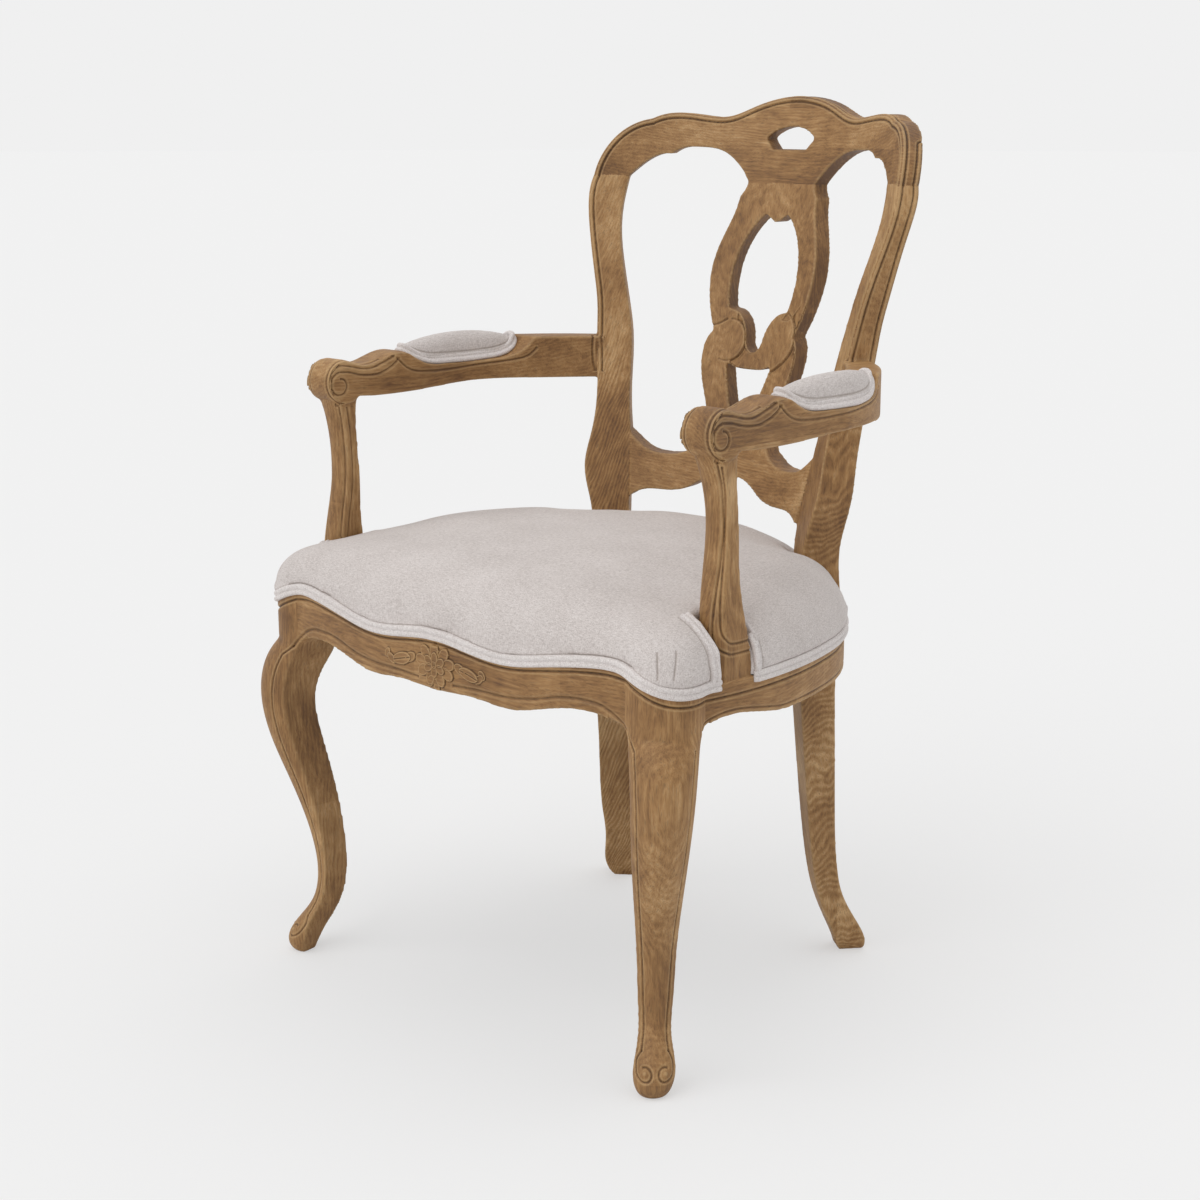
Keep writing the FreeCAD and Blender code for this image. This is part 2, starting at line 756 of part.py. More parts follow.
def clear_of(shape, cutters):
    for cutter in cutters:
        shape = shape.cut(cutter)
    return max(shape.Solids, key=lambda solid: solid.Volume)


webbing_level = rail_top + 2 * webbing_thickness
hessian_level = webbing_level + hessian_thickness


def make_webbing(lengthwise):
    """Straps across the seat frame. The lengthwise ones pass over the others and turn down onto the rails."""
    field = seat_prism(-webbing_margin, rail_top, webbing_level)
    inside = seat_prism(-rail_thickness, rail_top, rail_top + webbing_thickness)
    straps = []
    for number in range(webbing_count):
        step = number - (webbing_count - 1) / 2
        if lengthwise:
            low = step * webbing_long_pitch - webbing_width / 2
            strap = block(low, low + webbing_width, -FAR, FAR, rail_top, webbing_level)
            strap = strap.common(field).cut(inside)
        else:
            low = webbing_cross_middle + step * webbing_cross_pitch - webbing_width / 2
            strap = block(-FAR, FAR, low, low + webbing_width, rail_top, rail_top + webbing_thickness)
            strap = strap.common(field)
        straps.append(clear_of(strap, uprights(fit_gap)))
    return straps


def make_foam():
    foam = seat_dome(cover_thickness + soft_gap).cut(block(-FAR, FAR, -FAR, FAR, 0, hessian_level))
    return clear_of(foam, seat_clearances(cover_thickness + soft_gap))


def make_cover():
    """The cloth over the foam, open below."""
    return clear_of(seat_dome(0).cut(seat_dome(cover_thickness)), seat_clearances(soft_gap))


def make_seat_welts():
    """The cord along the edge of the seat: round the front, then behind each arm post to the stile."""
    front = seat_ring(welt_thickness, 0, 0, 2 * rail_top).common(crest_band(-welt_height, 0))
    side = seat_ring(welt_thickness, 0, rail_top - welt_height, rail_top)
    side = side.common(block(0, FAR, arm_post_foot[3], FAR, 0, FAR)).common(beyond(rear_outer, across))
    return front, side


def make_dust_cover(legs):
    """The thin cloth that closes the seat frame from below."""
    sheet = seat_prism(-rail_thickness - fit_gap, block_bottom - dust_cover_thickness, block_bottom)
    return clear_of(sheet, legs)


def pad_section(y, half, low, high):
    """A pad across its width: flat below, with drawn-in sides and a crown."""
    x = arm_outer_x - arm_width / 2
    side = low + (high - low) * pad_side_share
    left_low, right_low = Vector(x - half, y, low), Vector(x + half, y, low)
    left_high, right_high = Vector(x - half, y, side), Vector(x + half, y, side)
    return Part.Wire([
        curve([left_low, right_low]),
        curve([right_low, right_high]),
        arc(right_high, Vector(x, y, high), left_high),
        curve([left_high, left_low]),
    ])


# Form of an arm pad: share of its length, of its half width, of its height
pad_form = [
    (0.02, 0.35, 0.7), (0.1, 0.75, 0.8), (0.3, 1.0, 0.95),
    (0.6, 1.0, 1.0), (0.88, 0.8, 0.85), (0.98, 0.4, 0.7),
]


def pad_body(extra):
    """The pad down to below its bed in the arm, wider by an extra all round."""
    bed = arm_eye_z + arm_pad_bed[len(arm_pad_bed) // 2][1]
    front = arm_pad_front[0] - extra
    length = arm_pad_rear[0] + extra - front
    low = bed - cover_thickness
    sections = []
    for along, across_share, high in pad_form:
        half = arm_pad_half * across_share + extra
        sections.append(pad_section(front + length * along, half, low, bed + arm_pad_height * high))
    return Part.makeLoft(sections, True, False)


def raised(shape, height):
    shape = shape.copy()
    shape.translate(UP * height)
    return shape


def make_arm_pad(arm):
    return clear_of(pad_body(0), [raised(arm, soft_gap)])


def make_arm_pad_welt(arm):
    """The cord round the foot of a pad."""
    cord = pad_body(soft_gap + arm_welt_thickness).cut(pad_body(soft_gap))
    cord = cord.common(raised(arm, arm_welt_height))
    return clear_of(cord, [raised(arm, soft_gap)])


# Dowels of the right half: middle and direction of each


def ring_crossing(start, direction, length):
    """Middle of the seat rails where a line in plan passes through them."""
    start = start + UP * (rail_bottom + rail_height / 2)
    rails = seat_ring(0, -rail_thickness, rail_bottom, rail_top)
    inside = curve([start, start + direction * length]).common(rails)
    return inside.Edges[0].CenterOfMass


def seat_pins(place, direction):
    first = Vector(place.x, place.y, rail_top - dowel_depth)
    return [(first, direction), (first - UP * dowel_spacing, direction)]


def splat_pin(z):
    place = Vector(splat_dowel_x, back_face(splat_dowel_x, z) + splat_thickness / 2, z)
    return [(place, back_slope)]


def joint_pins():
    front = Vector(front_joint.x, front_rail_face_y + rail_thickness / 2, 0)
    side = Vector(side_rail_face_x - rail_thickness / 2, front_joint.y, 0)
    crest = Vector(stile_top_x, stile_top_y, stile_seam)
    crest = crest + across * crest_dowel_offset + inwards * (back_thickness / 2)
    lower = stile_corner(lower_dowel_z)[0] + inwards * lower_dowel_inset
    lower_turn = math.radians(lower_dowel_turn)
    head_x0, head_x1, head_y0, head_y1 = arm_post_head
    foot_x0, foot_x1, foot_y0, foot_y1 = arm_post_foot
    head = Vector((head_x0 + head_x1) / 2, (head_y0 + head_y1) / 2, arm_eye_z - arm_scroll_radius)
    foot = Vector((foot_x0 + foot_x1) / 2, (foot_y0 + foot_y1) / 2, rail_top)
    return {
        "front_rail_dowels": seat_pins(front, Vector(1, 0, 0)),
        "side_rail_front_dowels": seat_pins(side, Vector(0, 1, 0)),
        "side_rail_rear_dowels": seat_pins(ring_crossing(rear_outer, inwards, rear_block_depth), across),
        "back_rail_dowels": seat_pins(ring_crossing(rear_inner, inwards, rear_block_depth), across),
        "crest_dowels": [(crest, back_slope)],
        "splat_top_dowels": splat_pin(splat_seam),
        "splat_foot_dowels": splat_pin(splat_foot_seam),
        "lower_back_rail_dowels": [(lower, Vector(math.cos(lower_turn), -math.sin(lower_turn), 0))],
        "arm_tail_dowels": [(arm_seat, across)],
        "arm_post_top_dowels": [(head, UP)],
        "arm_post_foot_dowels": [(foot, UP)],
    }


def main():
    pins = joint_pins()
    screws = screw_places()
    access = max(front_block_reach, rear_block_reach)
    holes = [screw(entry, direction, fit_gap, access) for entry, direction in screws]

    def fitted(shape, *joints, blocks=()):
        """A right-hand or middle piece with the bores of its joints."""
        for joint in joints:
            shape = drilled(shape, both_sides(pins[joint]))
        for number in blocks:
            shape = shape.cut(holes[number]).cut(mirrored(holes[number]))
        return max(shape.Solids, key=lambda solid: solid.Volume)

    front_leg = make_front_leg()
    rear_leg = make_rear_leg()
    stiles = [rear_leg, mirrored(rear_leg)]
    legs = stiles + [front_leg, mirrored(front_leg)]
    arm = make_arm(rear_leg)
    post = make_arm_post(arm)
    front_direction = Vector(HALF_SQRT, -HALF_SQRT, 0)
    rear_middle = rear_inner + across * (rear_block_width / 2)
    front_block = make_corner_block(front_joint, front_direction, front_block_reach, front_leg)
    rear_corner_block = make_corner_block(rear_middle, inwards, rear_block_reach, rear_leg)
    welt_front, welt_side = make_seat_welts()

    handed = {
        "front_leg": fitted(front_leg, "front_rail_dowels", "side_rail_front_dowels"),
        "rear_leg": fitted(rear_leg, "side_rail_rear_dowels", "back_rail_dowels", "crest_dowels",
                           "lower_back_rail_dowels", "arm_tail_dowels", blocks=(2, 3)),
        "side_seat_rail": fitted(make_side_rail(), "side_rail_front_dowels", "side_rail_rear_dowels",
                                 "arm_post_foot_dowels", blocks=(1,)),
        "arm": fitted(arm, "arm_tail_dowels", "arm_post_top_dowels"),
        "arm_post": fitted(post, "arm_post_top_dowels", "arm_post_foot_dowels"),
        "corner_block_front": fitted(front_block, blocks=(0, 1)),
        "corner_block_rear": fitted(rear_corner_block, blocks=(2, 3)),
        "seat_welt": welt_side,
        "arm_pad": make_arm_pad(arm),
        "arm_pad_welt": make_arm_pad_welt(arm),
    }
    hessian = seat_prism(-webbing_margin, webbing_level, hessian_level)
    pieces = {
        "crest_rail": fitted(make_crest(), "crest_dowels", "splat_top_dowels"),
        "back_splat": fitted(make_splat(), "splat_top_dowels", "splat_foot_dowels"),
        "lower_back_rail": fitted(make_lower_rail(stiles), "lower_back_rail_dowels", "splat_foot_dowels"),
        "front_seat_rail": fitted(make_front_rail(), "front_rail_dowels", blocks=(0,)),
        "back_seat_rail": fitted(make_back_rail(), "back_rail_dowels"),
        "seat_webbing_lengthwise": Part.makeCompound(make_webbing(True)),
        "seat_webbing_crosswise": Part.makeCompound(make_webbing(False)),
        "seat_hessian": clear_of(hessian, uprights(fit_gap)),
        "seat_foam": make_foam(),
        "seat_cover": make_cover(),
        "seat_welt_front": welt_front,
        "dust_cover": make_dust_cover(legs),
    }
    for name, shape in handed.items():
        pieces[name + "_right"] = shape
        pieces[name + "_left"] = mirrored(shape)
    for name, places in pins.items():
        pieces[name] = dowels(both_sides(places))
    right_screws = [screw(entry, direction) for entry, direction in screws]
    pieces["corner_block_screws"] = Part.makeCompound(right_screws + [mirrored(s) for s in right_screws])

    os.makedirs("parts", exist_ok=True)
    for name, shape in pieces.items():
        print(name, shape.ShapeType, shape.isValid(), len(shape.Solids), round(shape.Volume))
        shape.exportStep("parts/" + name + ".step")


main()
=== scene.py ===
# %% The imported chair
import bpy
import bmesh
import math
import numpy as np
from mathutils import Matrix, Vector
from mathutils.bvhtree import BVHTree
from mathutils.kdtree import KDTree


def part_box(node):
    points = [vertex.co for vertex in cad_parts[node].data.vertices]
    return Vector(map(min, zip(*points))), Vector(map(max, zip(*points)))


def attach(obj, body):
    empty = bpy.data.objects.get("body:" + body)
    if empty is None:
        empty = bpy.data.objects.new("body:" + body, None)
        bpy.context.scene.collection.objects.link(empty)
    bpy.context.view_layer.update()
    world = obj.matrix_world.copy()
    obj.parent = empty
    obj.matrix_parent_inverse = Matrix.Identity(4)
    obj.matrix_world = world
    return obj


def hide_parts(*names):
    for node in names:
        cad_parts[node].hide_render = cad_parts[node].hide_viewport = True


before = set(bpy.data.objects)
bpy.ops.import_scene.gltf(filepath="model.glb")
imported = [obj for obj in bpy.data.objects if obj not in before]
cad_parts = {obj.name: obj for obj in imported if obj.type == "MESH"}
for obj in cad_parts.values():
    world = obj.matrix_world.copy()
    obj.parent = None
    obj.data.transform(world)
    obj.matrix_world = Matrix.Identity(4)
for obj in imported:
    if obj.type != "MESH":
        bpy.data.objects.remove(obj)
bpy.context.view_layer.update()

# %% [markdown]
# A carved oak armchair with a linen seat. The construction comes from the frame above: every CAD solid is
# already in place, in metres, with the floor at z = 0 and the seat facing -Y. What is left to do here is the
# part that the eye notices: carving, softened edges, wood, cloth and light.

scene = bpy.context.scene
MM = 0.001


def linked(name, data):
    """A new object in the scene."""
    made = bpy.data.objects.new(name, data)
    scene.collection.objects.link(made)
    return made


# %% [markdown]
# The camera repeats the photograph: a long lens, a little above the arms, 44 degrees round from the front.
# Its place was worked out from the lengths and heights of the chair, so no shift is needed.

# %% Camera
camera = linked("camera", bpy.data.cameras.new("camera"))
camera.location = (1.6529, -1.7931, 0.9996)
camera.rotation_euler = Vector((-0.6723, 0.7044, -0.2278)).to_track_quat("-Z", "Y").to_euler()
camera.data.lens = 64.54
camera.data.sensor_width = 36.0
scene.camera = camera
print("camera", tuple(round(value, 3) for value in camera.location))

# %% [markdown]
# Colours are written as sRGB hex values, as a paint card gives them, and one function turns them into the
# linear numbers that the shaders work with. A second one adds a shader node: its kind, its settings, and what
# goes into its sockets, which is either a plain value or the output of another node.

# %% Colours and nodes
def colour(text):
    """An sRGB hex colour as linear red, green, blue and alpha."""
    parts = [int(text[i:i + 2], 16) / 255 for i in (1, 3, 5)]
    return tuple(p / 12.92 if p <= 0.04045 else ((p + 0.055) / 1.055) ** 2.4 for p in parts) + (1.0,)


def add(tree, kind, inputs=None, stops=(), **settings):
    """One shader node with its settings, values and links; stops are places and hex colours of a colour ramp."""
    made = tree.nodes.new("ShaderNode" + kind)
    for number, (place, text) in enumerate(stops):
        steps = made.color_ramp.elements
        step = steps[number] if number < len(steps) else steps.new(place)
        step.position, step.color = place, colour(text)
    for name, value in settings.items():
        setattr(made, name, value)
    for socket, value in (inputs or {}).items():
        if isinstance(value, bpy.types.NodeSocket):
            tree.links.new(value, made.inputs[socket])
        else:
            made.inputs[socket].default_value = value
    return made


def blank(name):
    """A new material with nothing in its node tree but the output."""
    made = bpy.data.materials.new(name)
    made.use_nodes = True
    made.node_tree.nodes.clear()
    return made, made.node_tree


print("mid grey in linear numbers", [round(value, 3) for value in colour("#808080")])

# %% [markdown]
# The studio is a pale floor that runs into a pale background. Part of the light comes evenly from all sides,
# as in a white room. A broad lamp overhead gives the soft shadows under the chair, and a second one lights it from
# the front. The levels are chosen so that a surface facing up renders about as its colour is written.

# %% Floor and light
BACKDROP = "#F0F0F0"
floor_mesh = bpy.data.meshes.new("floor")
shape = bmesh.new()
bmesh.ops.create_circle(shape, cap_ends=True, segments=96, radius=40.0)
shape.to_mesh(floor_mesh)
shape.free()
floor = linked("floor", floor_mesh)
floor_material, tree = blank("studio_paint")
paint = add(tree, "BsdfDiffuse", {"Color": colour("#F2F2F2")})
glow = add(tree, "Emission", {"Color": colour(BACKDROP), "Strength": 1.0})
path = add(tree, "LightPath")
share = add(tree, "Math", {0: path.outputs["Is Camera Ray"], 1: 0.55}, operation="MULTIPLY")
both = add(tree, "MixShader", {0: share.outputs[0], 1: paint.outputs[0], 2: glow.outputs[0]})
add(tree, "OutputMaterial", {"Surface": both.outputs[0]})
floor_mesh.materials.append(floor_material)

world = bpy.data.worlds.new("studio")
world.use_nodes = True
tree = world.node_tree
tree.nodes.clear()
path = add(tree, "LightPath")
seen = path.outputs["Is Camera Ray"]
for kind in ("Is Glossy Ray", "Is Transmission Ray"):
    seen = add(tree, "Math", {0: seen, 1: path.outputs[kind]}, operation="MAXIMUM").outputs[0]
room = add(tree, "Background", {"Color": (1, 1, 1, 1), "Strength": 0.52})
backdrop = add(tree, "Background", {"Color": colour(BACKDROP), "Strength": 1.0})
both = add(tree, "MixShader", {0: seen, 1: room.outputs[0], 2: backdrop.outputs[0]})
add(tree, "OutputWorld", {"Surface": both.outputs[0]})
scene.world = world

lamps = (("overhead", 0.88, 80, (0.1, 0.2, 1.0)), ("front", 1.05, 60, (-0.2, -1.0, 0.85)))
for name, strength, softness, tilt in lamps:
    lamp = linked(name, bpy.data.lights.new(name, "SUN"))
    lamp.data.energy = strength
    lamp.data.angle = math.radians(softness)
    lamp.rotation_euler = (-Vector(tilt)).to_track_quat("-Z", "Y").to_euler()
scene.view_settings.view_transform = "Standard"

# %% [markdown]
# Oak, sawn from glued-up blocks, carved, then stained brown, glazed and rubbed back. From a step away it reads as
# a fine brown mottle: short fibres and pores along the grain, clouds of stain, and blocks of slightly different
# tone with straight edges. Bands of early and late wood, 4 mm apart, only stand out where a curved leg was
# sawn through them. The glaze stays dark in the grooves and is worn off the edges. Each piece carries its own
# grain coordinates in millimetres, and a second attribute with its age, its figure (how strongly the bands show)
# and its tone, so one material serves all. Real pores are 0.2 mm wide, too fine to show, and are drawn wider.

# %% Oak
oak, tree = blank("oak_stained")
grain = add(tree, "Attribute", attribute_name="grain").outputs["Vector"]
look = add(tree, "Attribute", attribute_name="look").outputs["Vector"]
look = add(tree, "SeparateXYZ", {0: look})
# tone also carries the painted shade on the sawn sides of the crest, splat and lower rail
age, figure, tone = look.outputs
slow = add(tree, "VectorMath", {0: grain, 1: (1 / 45, 1 / 45, 1 / 190)}, operation="MULTIPLY").outputs[0]
drift = add(tree, "TexNoise", {"Vector": slow, "Scale": 1.0, "Detail": 2.0}).outputs["Color"]
drift = add(tree, "VectorMath", {0: drift, 1: (0.5, 0.5, 0.5)}, operation="SUBTRACT").outputs[0]
drift = add(tree, "VectorMath", {0: drift, "Scale": 30.0}, operation="SCALE").outputs[0]
bent = add(tree, "VectorMath", {0: grain, 1: drift}, operation="ADD").outputs[0]
rings = add(tree, "TexWave", {"Vector": bent, "Scale": 0.314 / 4.0, "Distortion": 2.5, "Detail": 2.0,
                              "Detail Scale": 0.6}, wave_type="RINGS", rings_direction="Z").outputs["Fac"]
layers = []
for width, length, detail in ((1.3, 15, 2.0), (3.5, 55, 2.0), (14, 22, 3.0), (70, 120, 3.0)):
    stretch = (1 / width, 1 / width, 1 / length)
    spot = add(tree, "VectorMath", {0: bent, 1: stretch}, operation="MULTIPLY").outputs[0]
    layers.append(add(tree, "TexNoise", {"Vector": spot, "Scale": 1.0, "Detail": detail}).outputs["Fac"])
fibre, streak, mottle, cloud = layers
pores = add(tree, "MapRange", {"Value": fibre, 1: 0.54, 2: 0.7, 3: 0.0, 4: 0.6}).outputs[0]
cell = add(tree, "VectorMath", {0: grain, 1: (44, 400, 210)}, operation="SNAP").outputs[0]
board = add(tree, "TexWhiteNoise", {"Vector": cell}, noise_dimensions="3D").outputs["Value"]
mixed = add(tree, "Math", {0: rings, 1: figure, 2: tone}, operation="MULTIPLY_ADD").outputs[0]
for layer, share in ((fibre, 0.85), (streak, 0.45), (mottle, 0.45), (cloud, 0.9), (board, 0.17)):
    mixed = add(tree, "Math", {0: layer, 1: share, 2: mixed}, operation="MULTIPLY_ADD").outputs[0]
level = add(tree, "MapRange", {"Value": mixed, 1: 1.08, 2: 1.87, 3: 0.0, 4: 1.0}).outputs[0]
base = add(tree, "ValToRGB", {"Fac": level}, stops=[(0.0, "#64452A"), (0.35, "#8A653D"), (0.62, "#A37C4F"),
                                                    (1.0, "#C6A274")]).outputs["Color"]
base = add(tree, "Mix", {0: pores, 6: base, 7: colour("#573C22")}, data_type="RGBA").outputs[2]
for start, full, most, text in ((0.5, 0.14, 0.88, "#35230F"), (0.52, 0.68, 0.55, "#BE9D70")):   # glaze, wear
    share = add(tree, "MapRange", {"Value": age, 1: start, 2: full, 3: 0.0, 4: most}).outputs[0]
    base = add(tree, "Mix", {0: share, 6: base, 7: colour(text)}, data_type="RGBA").outputs[2]
relief = add(tree, "Math", {0: pores, 1: -1.0, 2: fibre}, operation="MULTIPLY_ADD").outputs[0]
bump = add(tree, "Bump", {"Strength": 0.4, "Distance": 0.0006, "Height": relief}).outputs[0]
gloss = add(tree, "MapRange", {"Value": fibre, 1: 0.3, 2: 0.7, 3: 0.5, 4: 0.66}).outputs[0]
wood = add(tree, "BsdfPrincipled", {"Base Color": base, "Roughness": gloss, "Normal": bump, "IOR": 1.48,
                                    "Specular IOR Level": 0.38})
add(tree, "OutputMaterial", {"Surface": wood.outputs[0]})
print(oak.name, len(tree.nodes), "nodes")

# %% [markdown]
# Carving needs an even, fine surface, and a chair frame is sanded flush over its joints. So all the shown oak
# pieces are gathered, with their dowels as filling, and meshed again as one skin of 1.7 mm squares. The skin is
# smoothed a little, which eases the sharp edges as years of sanding do. It is cut apart into the named pieces
# again at the end, so that the joints stay flush.

# %% One skin over the oak
sides = ("left", "right")
oak_nodes = ["crest_rail", "back_splat", "lower_back_rail", "front_seat_rail", "back_seat_rail"]
oak_nodes += [part + "_" + side for part in ("front_leg", "rear_leg", "side_seat_rail", "arm", "arm_post")
              for side in sides]
filling = [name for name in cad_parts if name.endswith("_dowels")]
VOXEL = 1.7
KNEE = 384   # height in mm at which the front legs meet the rails


def even_skin(name, nodes, voxel):
    """CAD solids meshed again as one closed skin of even squares, voxel millimetres wide."""
    gathered = bmesh.new()
    for node in nodes:
        gathered.from_mesh(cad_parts[node].data)
    mesh = bpy.data.meshes.new(name)
    gathered.to_mesh(mesh)
    gathered.free()
    raw = linked(name, mesh)
    remesh = raw.modifiers.new("even", "REMESH")
    remesh.mode = "VOXEL"
    remesh.voxel_size = voxel * MM
    skin = bpy.data.meshes.new_from_object(raw.evaluated_get(bpy.context.evaluated_depsgraph_get()))
    bpy.data.objects.remove(raw)
    return skin


def read(mesh, what, width, kind=float):
    """One number list of a mesh as a numpy table: vertex places, edge ends and the like."""
    source, field = {"places": (mesh.vertices, "co"), "normals": (mesh.vertices, "normal"),
                     "ends": (mesh.edges, "vertices")}[what]
    values = np.empty(len(source) * width, np.float32 if kind is float else np.int32)
    source.foreach_get(field, values)
    return values.reshape(-1, width).astype(kind)


def set_places(mesh, places):
    """Moves the vertices of a mesh to places in mm."""
    mesh.vertices.foreach_set("co", (places * MM).ravel())
    mesh.update()


def neighbour_mean(values, ends, count):
    """For each vertex, the mean of a value over the vertices that share an edge with it."""
    number = np.bincount(ends.ravel(), minlength=count)
    total = np.zeros((count, values.shape[1]))
    for column in range(values.shape[1]):
        total[:, column] = np.bincount(ends[:, 0], values[ends[:, 1], column], count)
        total[:, column] += np.bincount(ends[:, 1], values[ends[:, 0], column], count)
    return total / np.maximum(number, 1)[:, None]


def eased(values, ends, rounds, share=0.5):
    """Values drawn towards the mean of their neighbours, some rounds over."""
    for _ in range(rounds):
        values = values + share * (neighbour_mean(values, ends, len(values)) - values)
    return values


def finer_where(mesh, flagged):
    """Divides the edges of a mesh that have both ends flagged."""
    work = bmesh.new()
    work.from_mesh(mesh)
    work.verts.ensure_lookup_table()
    dividing = [e for e in work.edges if flagged[e.verts[0].index] and flagged[e.verts[1].index]]
    bmesh.ops.subdivide_edges(work, edges=dividing, cuts=1, use_grid_fill=True)
    work.to_mesh(mesh)
    work.free()
    mesh.update()


skin = even_skin("oak_skin", oak_nodes + filling, VOXEL)
places, ends = read(skin, "places", 3) / MM, read(skin, "ends", 2, int)
places = eased(places, ends, 3)
knee = np.exp(-((places[:, 2] - KNEE) / 16) ** 2) * (np.abs(places[:, 0]) > 236) * (places[:, 1] < -230)
set_places(skin, places + knee[:, None] * (eased(places, ends, 45) - places))
print("oak skin", len(skin.polygons), "squares")

# %% [markdown]
# A carver first draws lines on the wood, then works along them. The helpers here do the same: arris finds the
# sharp edges of a CAD solid, stroke makes a smooth line through a few points, and cut notes down a line with
# the section of the tool, which is a height in mm for a distance in mm. The cutting itself waits until all the
# lines are drawn.

# %% Drawing lines
cuts = {"rough": [], "fine": []}


def tree_of(mesh):
    """A search tree over the faces of a mesh."""
    return BVHTree.FromPolygons([v.co for v in mesh.vertices], [p.vertices for p in mesh.polygons])


def laid_on(tree, line):
    """A line in mm moved onto the surface of a search tree."""
    return np.array([tuple(tree.find_nearest(Vector(point) * MM)[0] / MM) for point in line])


def arris(node, keep):
    """Points along the sharp edges of a CAD solid, in mm. keep sees the middle and both face normals."""
    solid = bmesh.new()
    solid.from_mesh(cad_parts[node].data)
    bmesh.ops.remove_doubles(solid, verts=solid.verts, dist=1e-6)
    found = []
    for edge in solid.edges:
        if len(edge.link_faces) != 2 or edge.calc_face_angle(0) < math.radians(25):
            continue
        a, b = edge.verts[0].co / MM, edge.verts[1].co / MM
        first, second = edge.link_faces[0].normal, edge.link_faces[1].normal
        if keep((a + b) / 2, first, second) or keep((a + b) / 2, second, first):
            steps = max(2, int((b - a).length) + 1)
            found += [a.lerp(b, step / steps) for step in range(steps + 1)]
    solid.free()
    return np.array([tuple(point) for point in found]).reshape(-1, 3)


def stroke(points, step=0.7):
    """A smooth line through a few points of two or three coordinates, as close points."""
    points = [np.array(point, float) for point in points]
    ends = [2 * points[0] - points[1]] + points + [2 * points[-1] - points[-2]]
    line = []
    for a, b, c, d in zip(ends, ends[1:], ends[2:], ends[3:]):
        count = max(2, int(np.linalg.norm(c - b) / step))
        for t in np.arange(count) / count:
            line.append(0.5 * (2 * b + (c - a) * t + (2 * a - 5 * b + 4 * c - d) * t ** 2
                               + (3 * b - a - 3 * c + d) * t ** 3))
    return np.array(line + [points[-1]])


def cut(title, line, section, reach, plane=None, where=None, grade="fine"):
    """Notes down a line to carve. plane gives the two axes that a flat line is drawn on."""
    cuts[grade].append((np.asarray(line), section, reach, plane, where))
    print("drawn:", title, len(line), "points")


def gouge(depth, width, at=0.0):
    """The section of a rounded groove, centred at a distance from its line."""
    return lambda away: -depth * np.exp(-((away - at) / width) ** 2)


def flip(line):
    """The same line on the other side of the chair."""
    return np.asarray(line) * [-1, 1, 1]


TURNS = {"right": np.asarray, "left": flip}   # lines are drawn for the right side
oak_tree = tree_of(skin)

# %% [markdown]
# The crest and the stiles have a rounded bead along their outer front edge, with a narrow groove beside it.
# The bead runs from the arm, round the shoulder and over the crest. The lines come from the edges of the solids.
# On the crest these are edges between the front and the top. A stile is turned in plan, so its outer side shows
# from the front as well, and both edges of that side get the bead.

# %% Crest and stiles
def bead(away):
    rounding = -1.5 * np.clip(1 - away / 3.0, 0, 1) ** 2
    return rounding + gouge(1.7, 1.4, 6.2)(away) + 0.5 * np.exp(-((away - 3.4) / 1.6) ** 2)


def outwards(middle, face):
    return face.x * math.copysign(1, middle.x)


def crest_edge(middle, front, other):
    in_eye = abs(middle.x) < 45 and middle.z < 967
    outer = other.z > 0.25 or outwards(middle, other) > 0.5 and abs(middle.x) > 190
    return front.y < -0.45 and outer and not in_eye


def stile_edge(middle, front, other):
    return 655 < middle.z < 909 and abs(front.z) < 0.6 and front.y < -0.45 and outwards(middle, other) > 0.4


def above_arm(places, normals):
    return places[:, 2] > 668


edges = [arris("crest_rail", crest_edge)] + [arris("rear_leg_" + side, stile_edge) for side in sides]
cut("crest and stile bead", np.concatenate(edges), bead, 12, where=above_arm)

# %% [markdown]
# The splat is cut to look like straps that cross in a knot. Nothing really passes over anything: the carver
# sinks the wood beside a strap, so that the strap stands proud and seems to lie on top. Here the left loop lies
# over the bridge, and the bridge with the right loop lies over the lower strap. The sunk ground fades out
# over a finger's width.

# %% Splat
LEFT_LOOP = (-37.0, 713.5, 24.6)   # x, z and radius in mm
FRONT_VIEW = (0, 2)


def front_side(places, normals):
    return normals[:, 1] < -0.35


def left_loop_ground(places, normals):
    x, z = places[:, 0] - LEFT_LOOP[0], places[:, 2] - LEFT_LOOP[1]
    outside = np.hypot(x, z) > LEFT_LOOP[2]
    return front_side(places, normals) & outside & (x > -8) & (np.abs(places[:, 0]) < 30)


def sunk(depth, width):
    return lambda away: -depth * np.exp(-away / width)


turns = np.radians(np.arange(-110, 92, 2))
loop = np.stack([LEFT_LOOP[0] + LEFT_LOOP[2] * np.cos(turns), LEFT_LOOP[1] + LEFT_LOOP[2] * np.sin(turns)], 1)
cut("left loop ground", loop, sunk(3.2, 9.0), 26, FRONT_VIEW, left_loop_ground)
cut("left loop groove", loop, gouge(0.9, 1.3), 5, FRONT_VIEW, front_side)
right_edge = stroke([(47, 752), (58, 741), (64, 727), (64.5, 714), (58.5, 701), (46.5, 689), (30, 679), (14, 674)])


def right_loop_ground(places, normals):
    nearest = np.array([np.abs(right_edge - (x, z)).sum(1).argmin() for x, z in places[:, [0, 2]]])
    beyond = (places[:, 0] - right_edge[nearest, 0]) * 0.8 - (places[:, 2] - right_edge[nearest, 1]) * 0.6 > 0
    return front_side(places, normals) & beyond


cut("right loop ground", right_edge, sunk(3.0, 10.0), 28, FRONT_VIEW, right_loop_ground)
cut("right loop groove", right_edge, gouge(0.9, 1.3), 5, FRONT_VIEW, front_side)
strap_edge = stroke([(-74, 727), (-64, 729), (-54, 732), (-44, 737.5)])
cut("left strap step", strap_edge, gouge(1.5, 1.6), 6, FRONT_VIEW, front_side)

# %% [markdown]
# A double welt runs along the top of the rails. Its line is needed twice, for the groove below it and for the
# welt itself, so it is read here from the edges of the CAD solids, half way between the upper and the lower one.

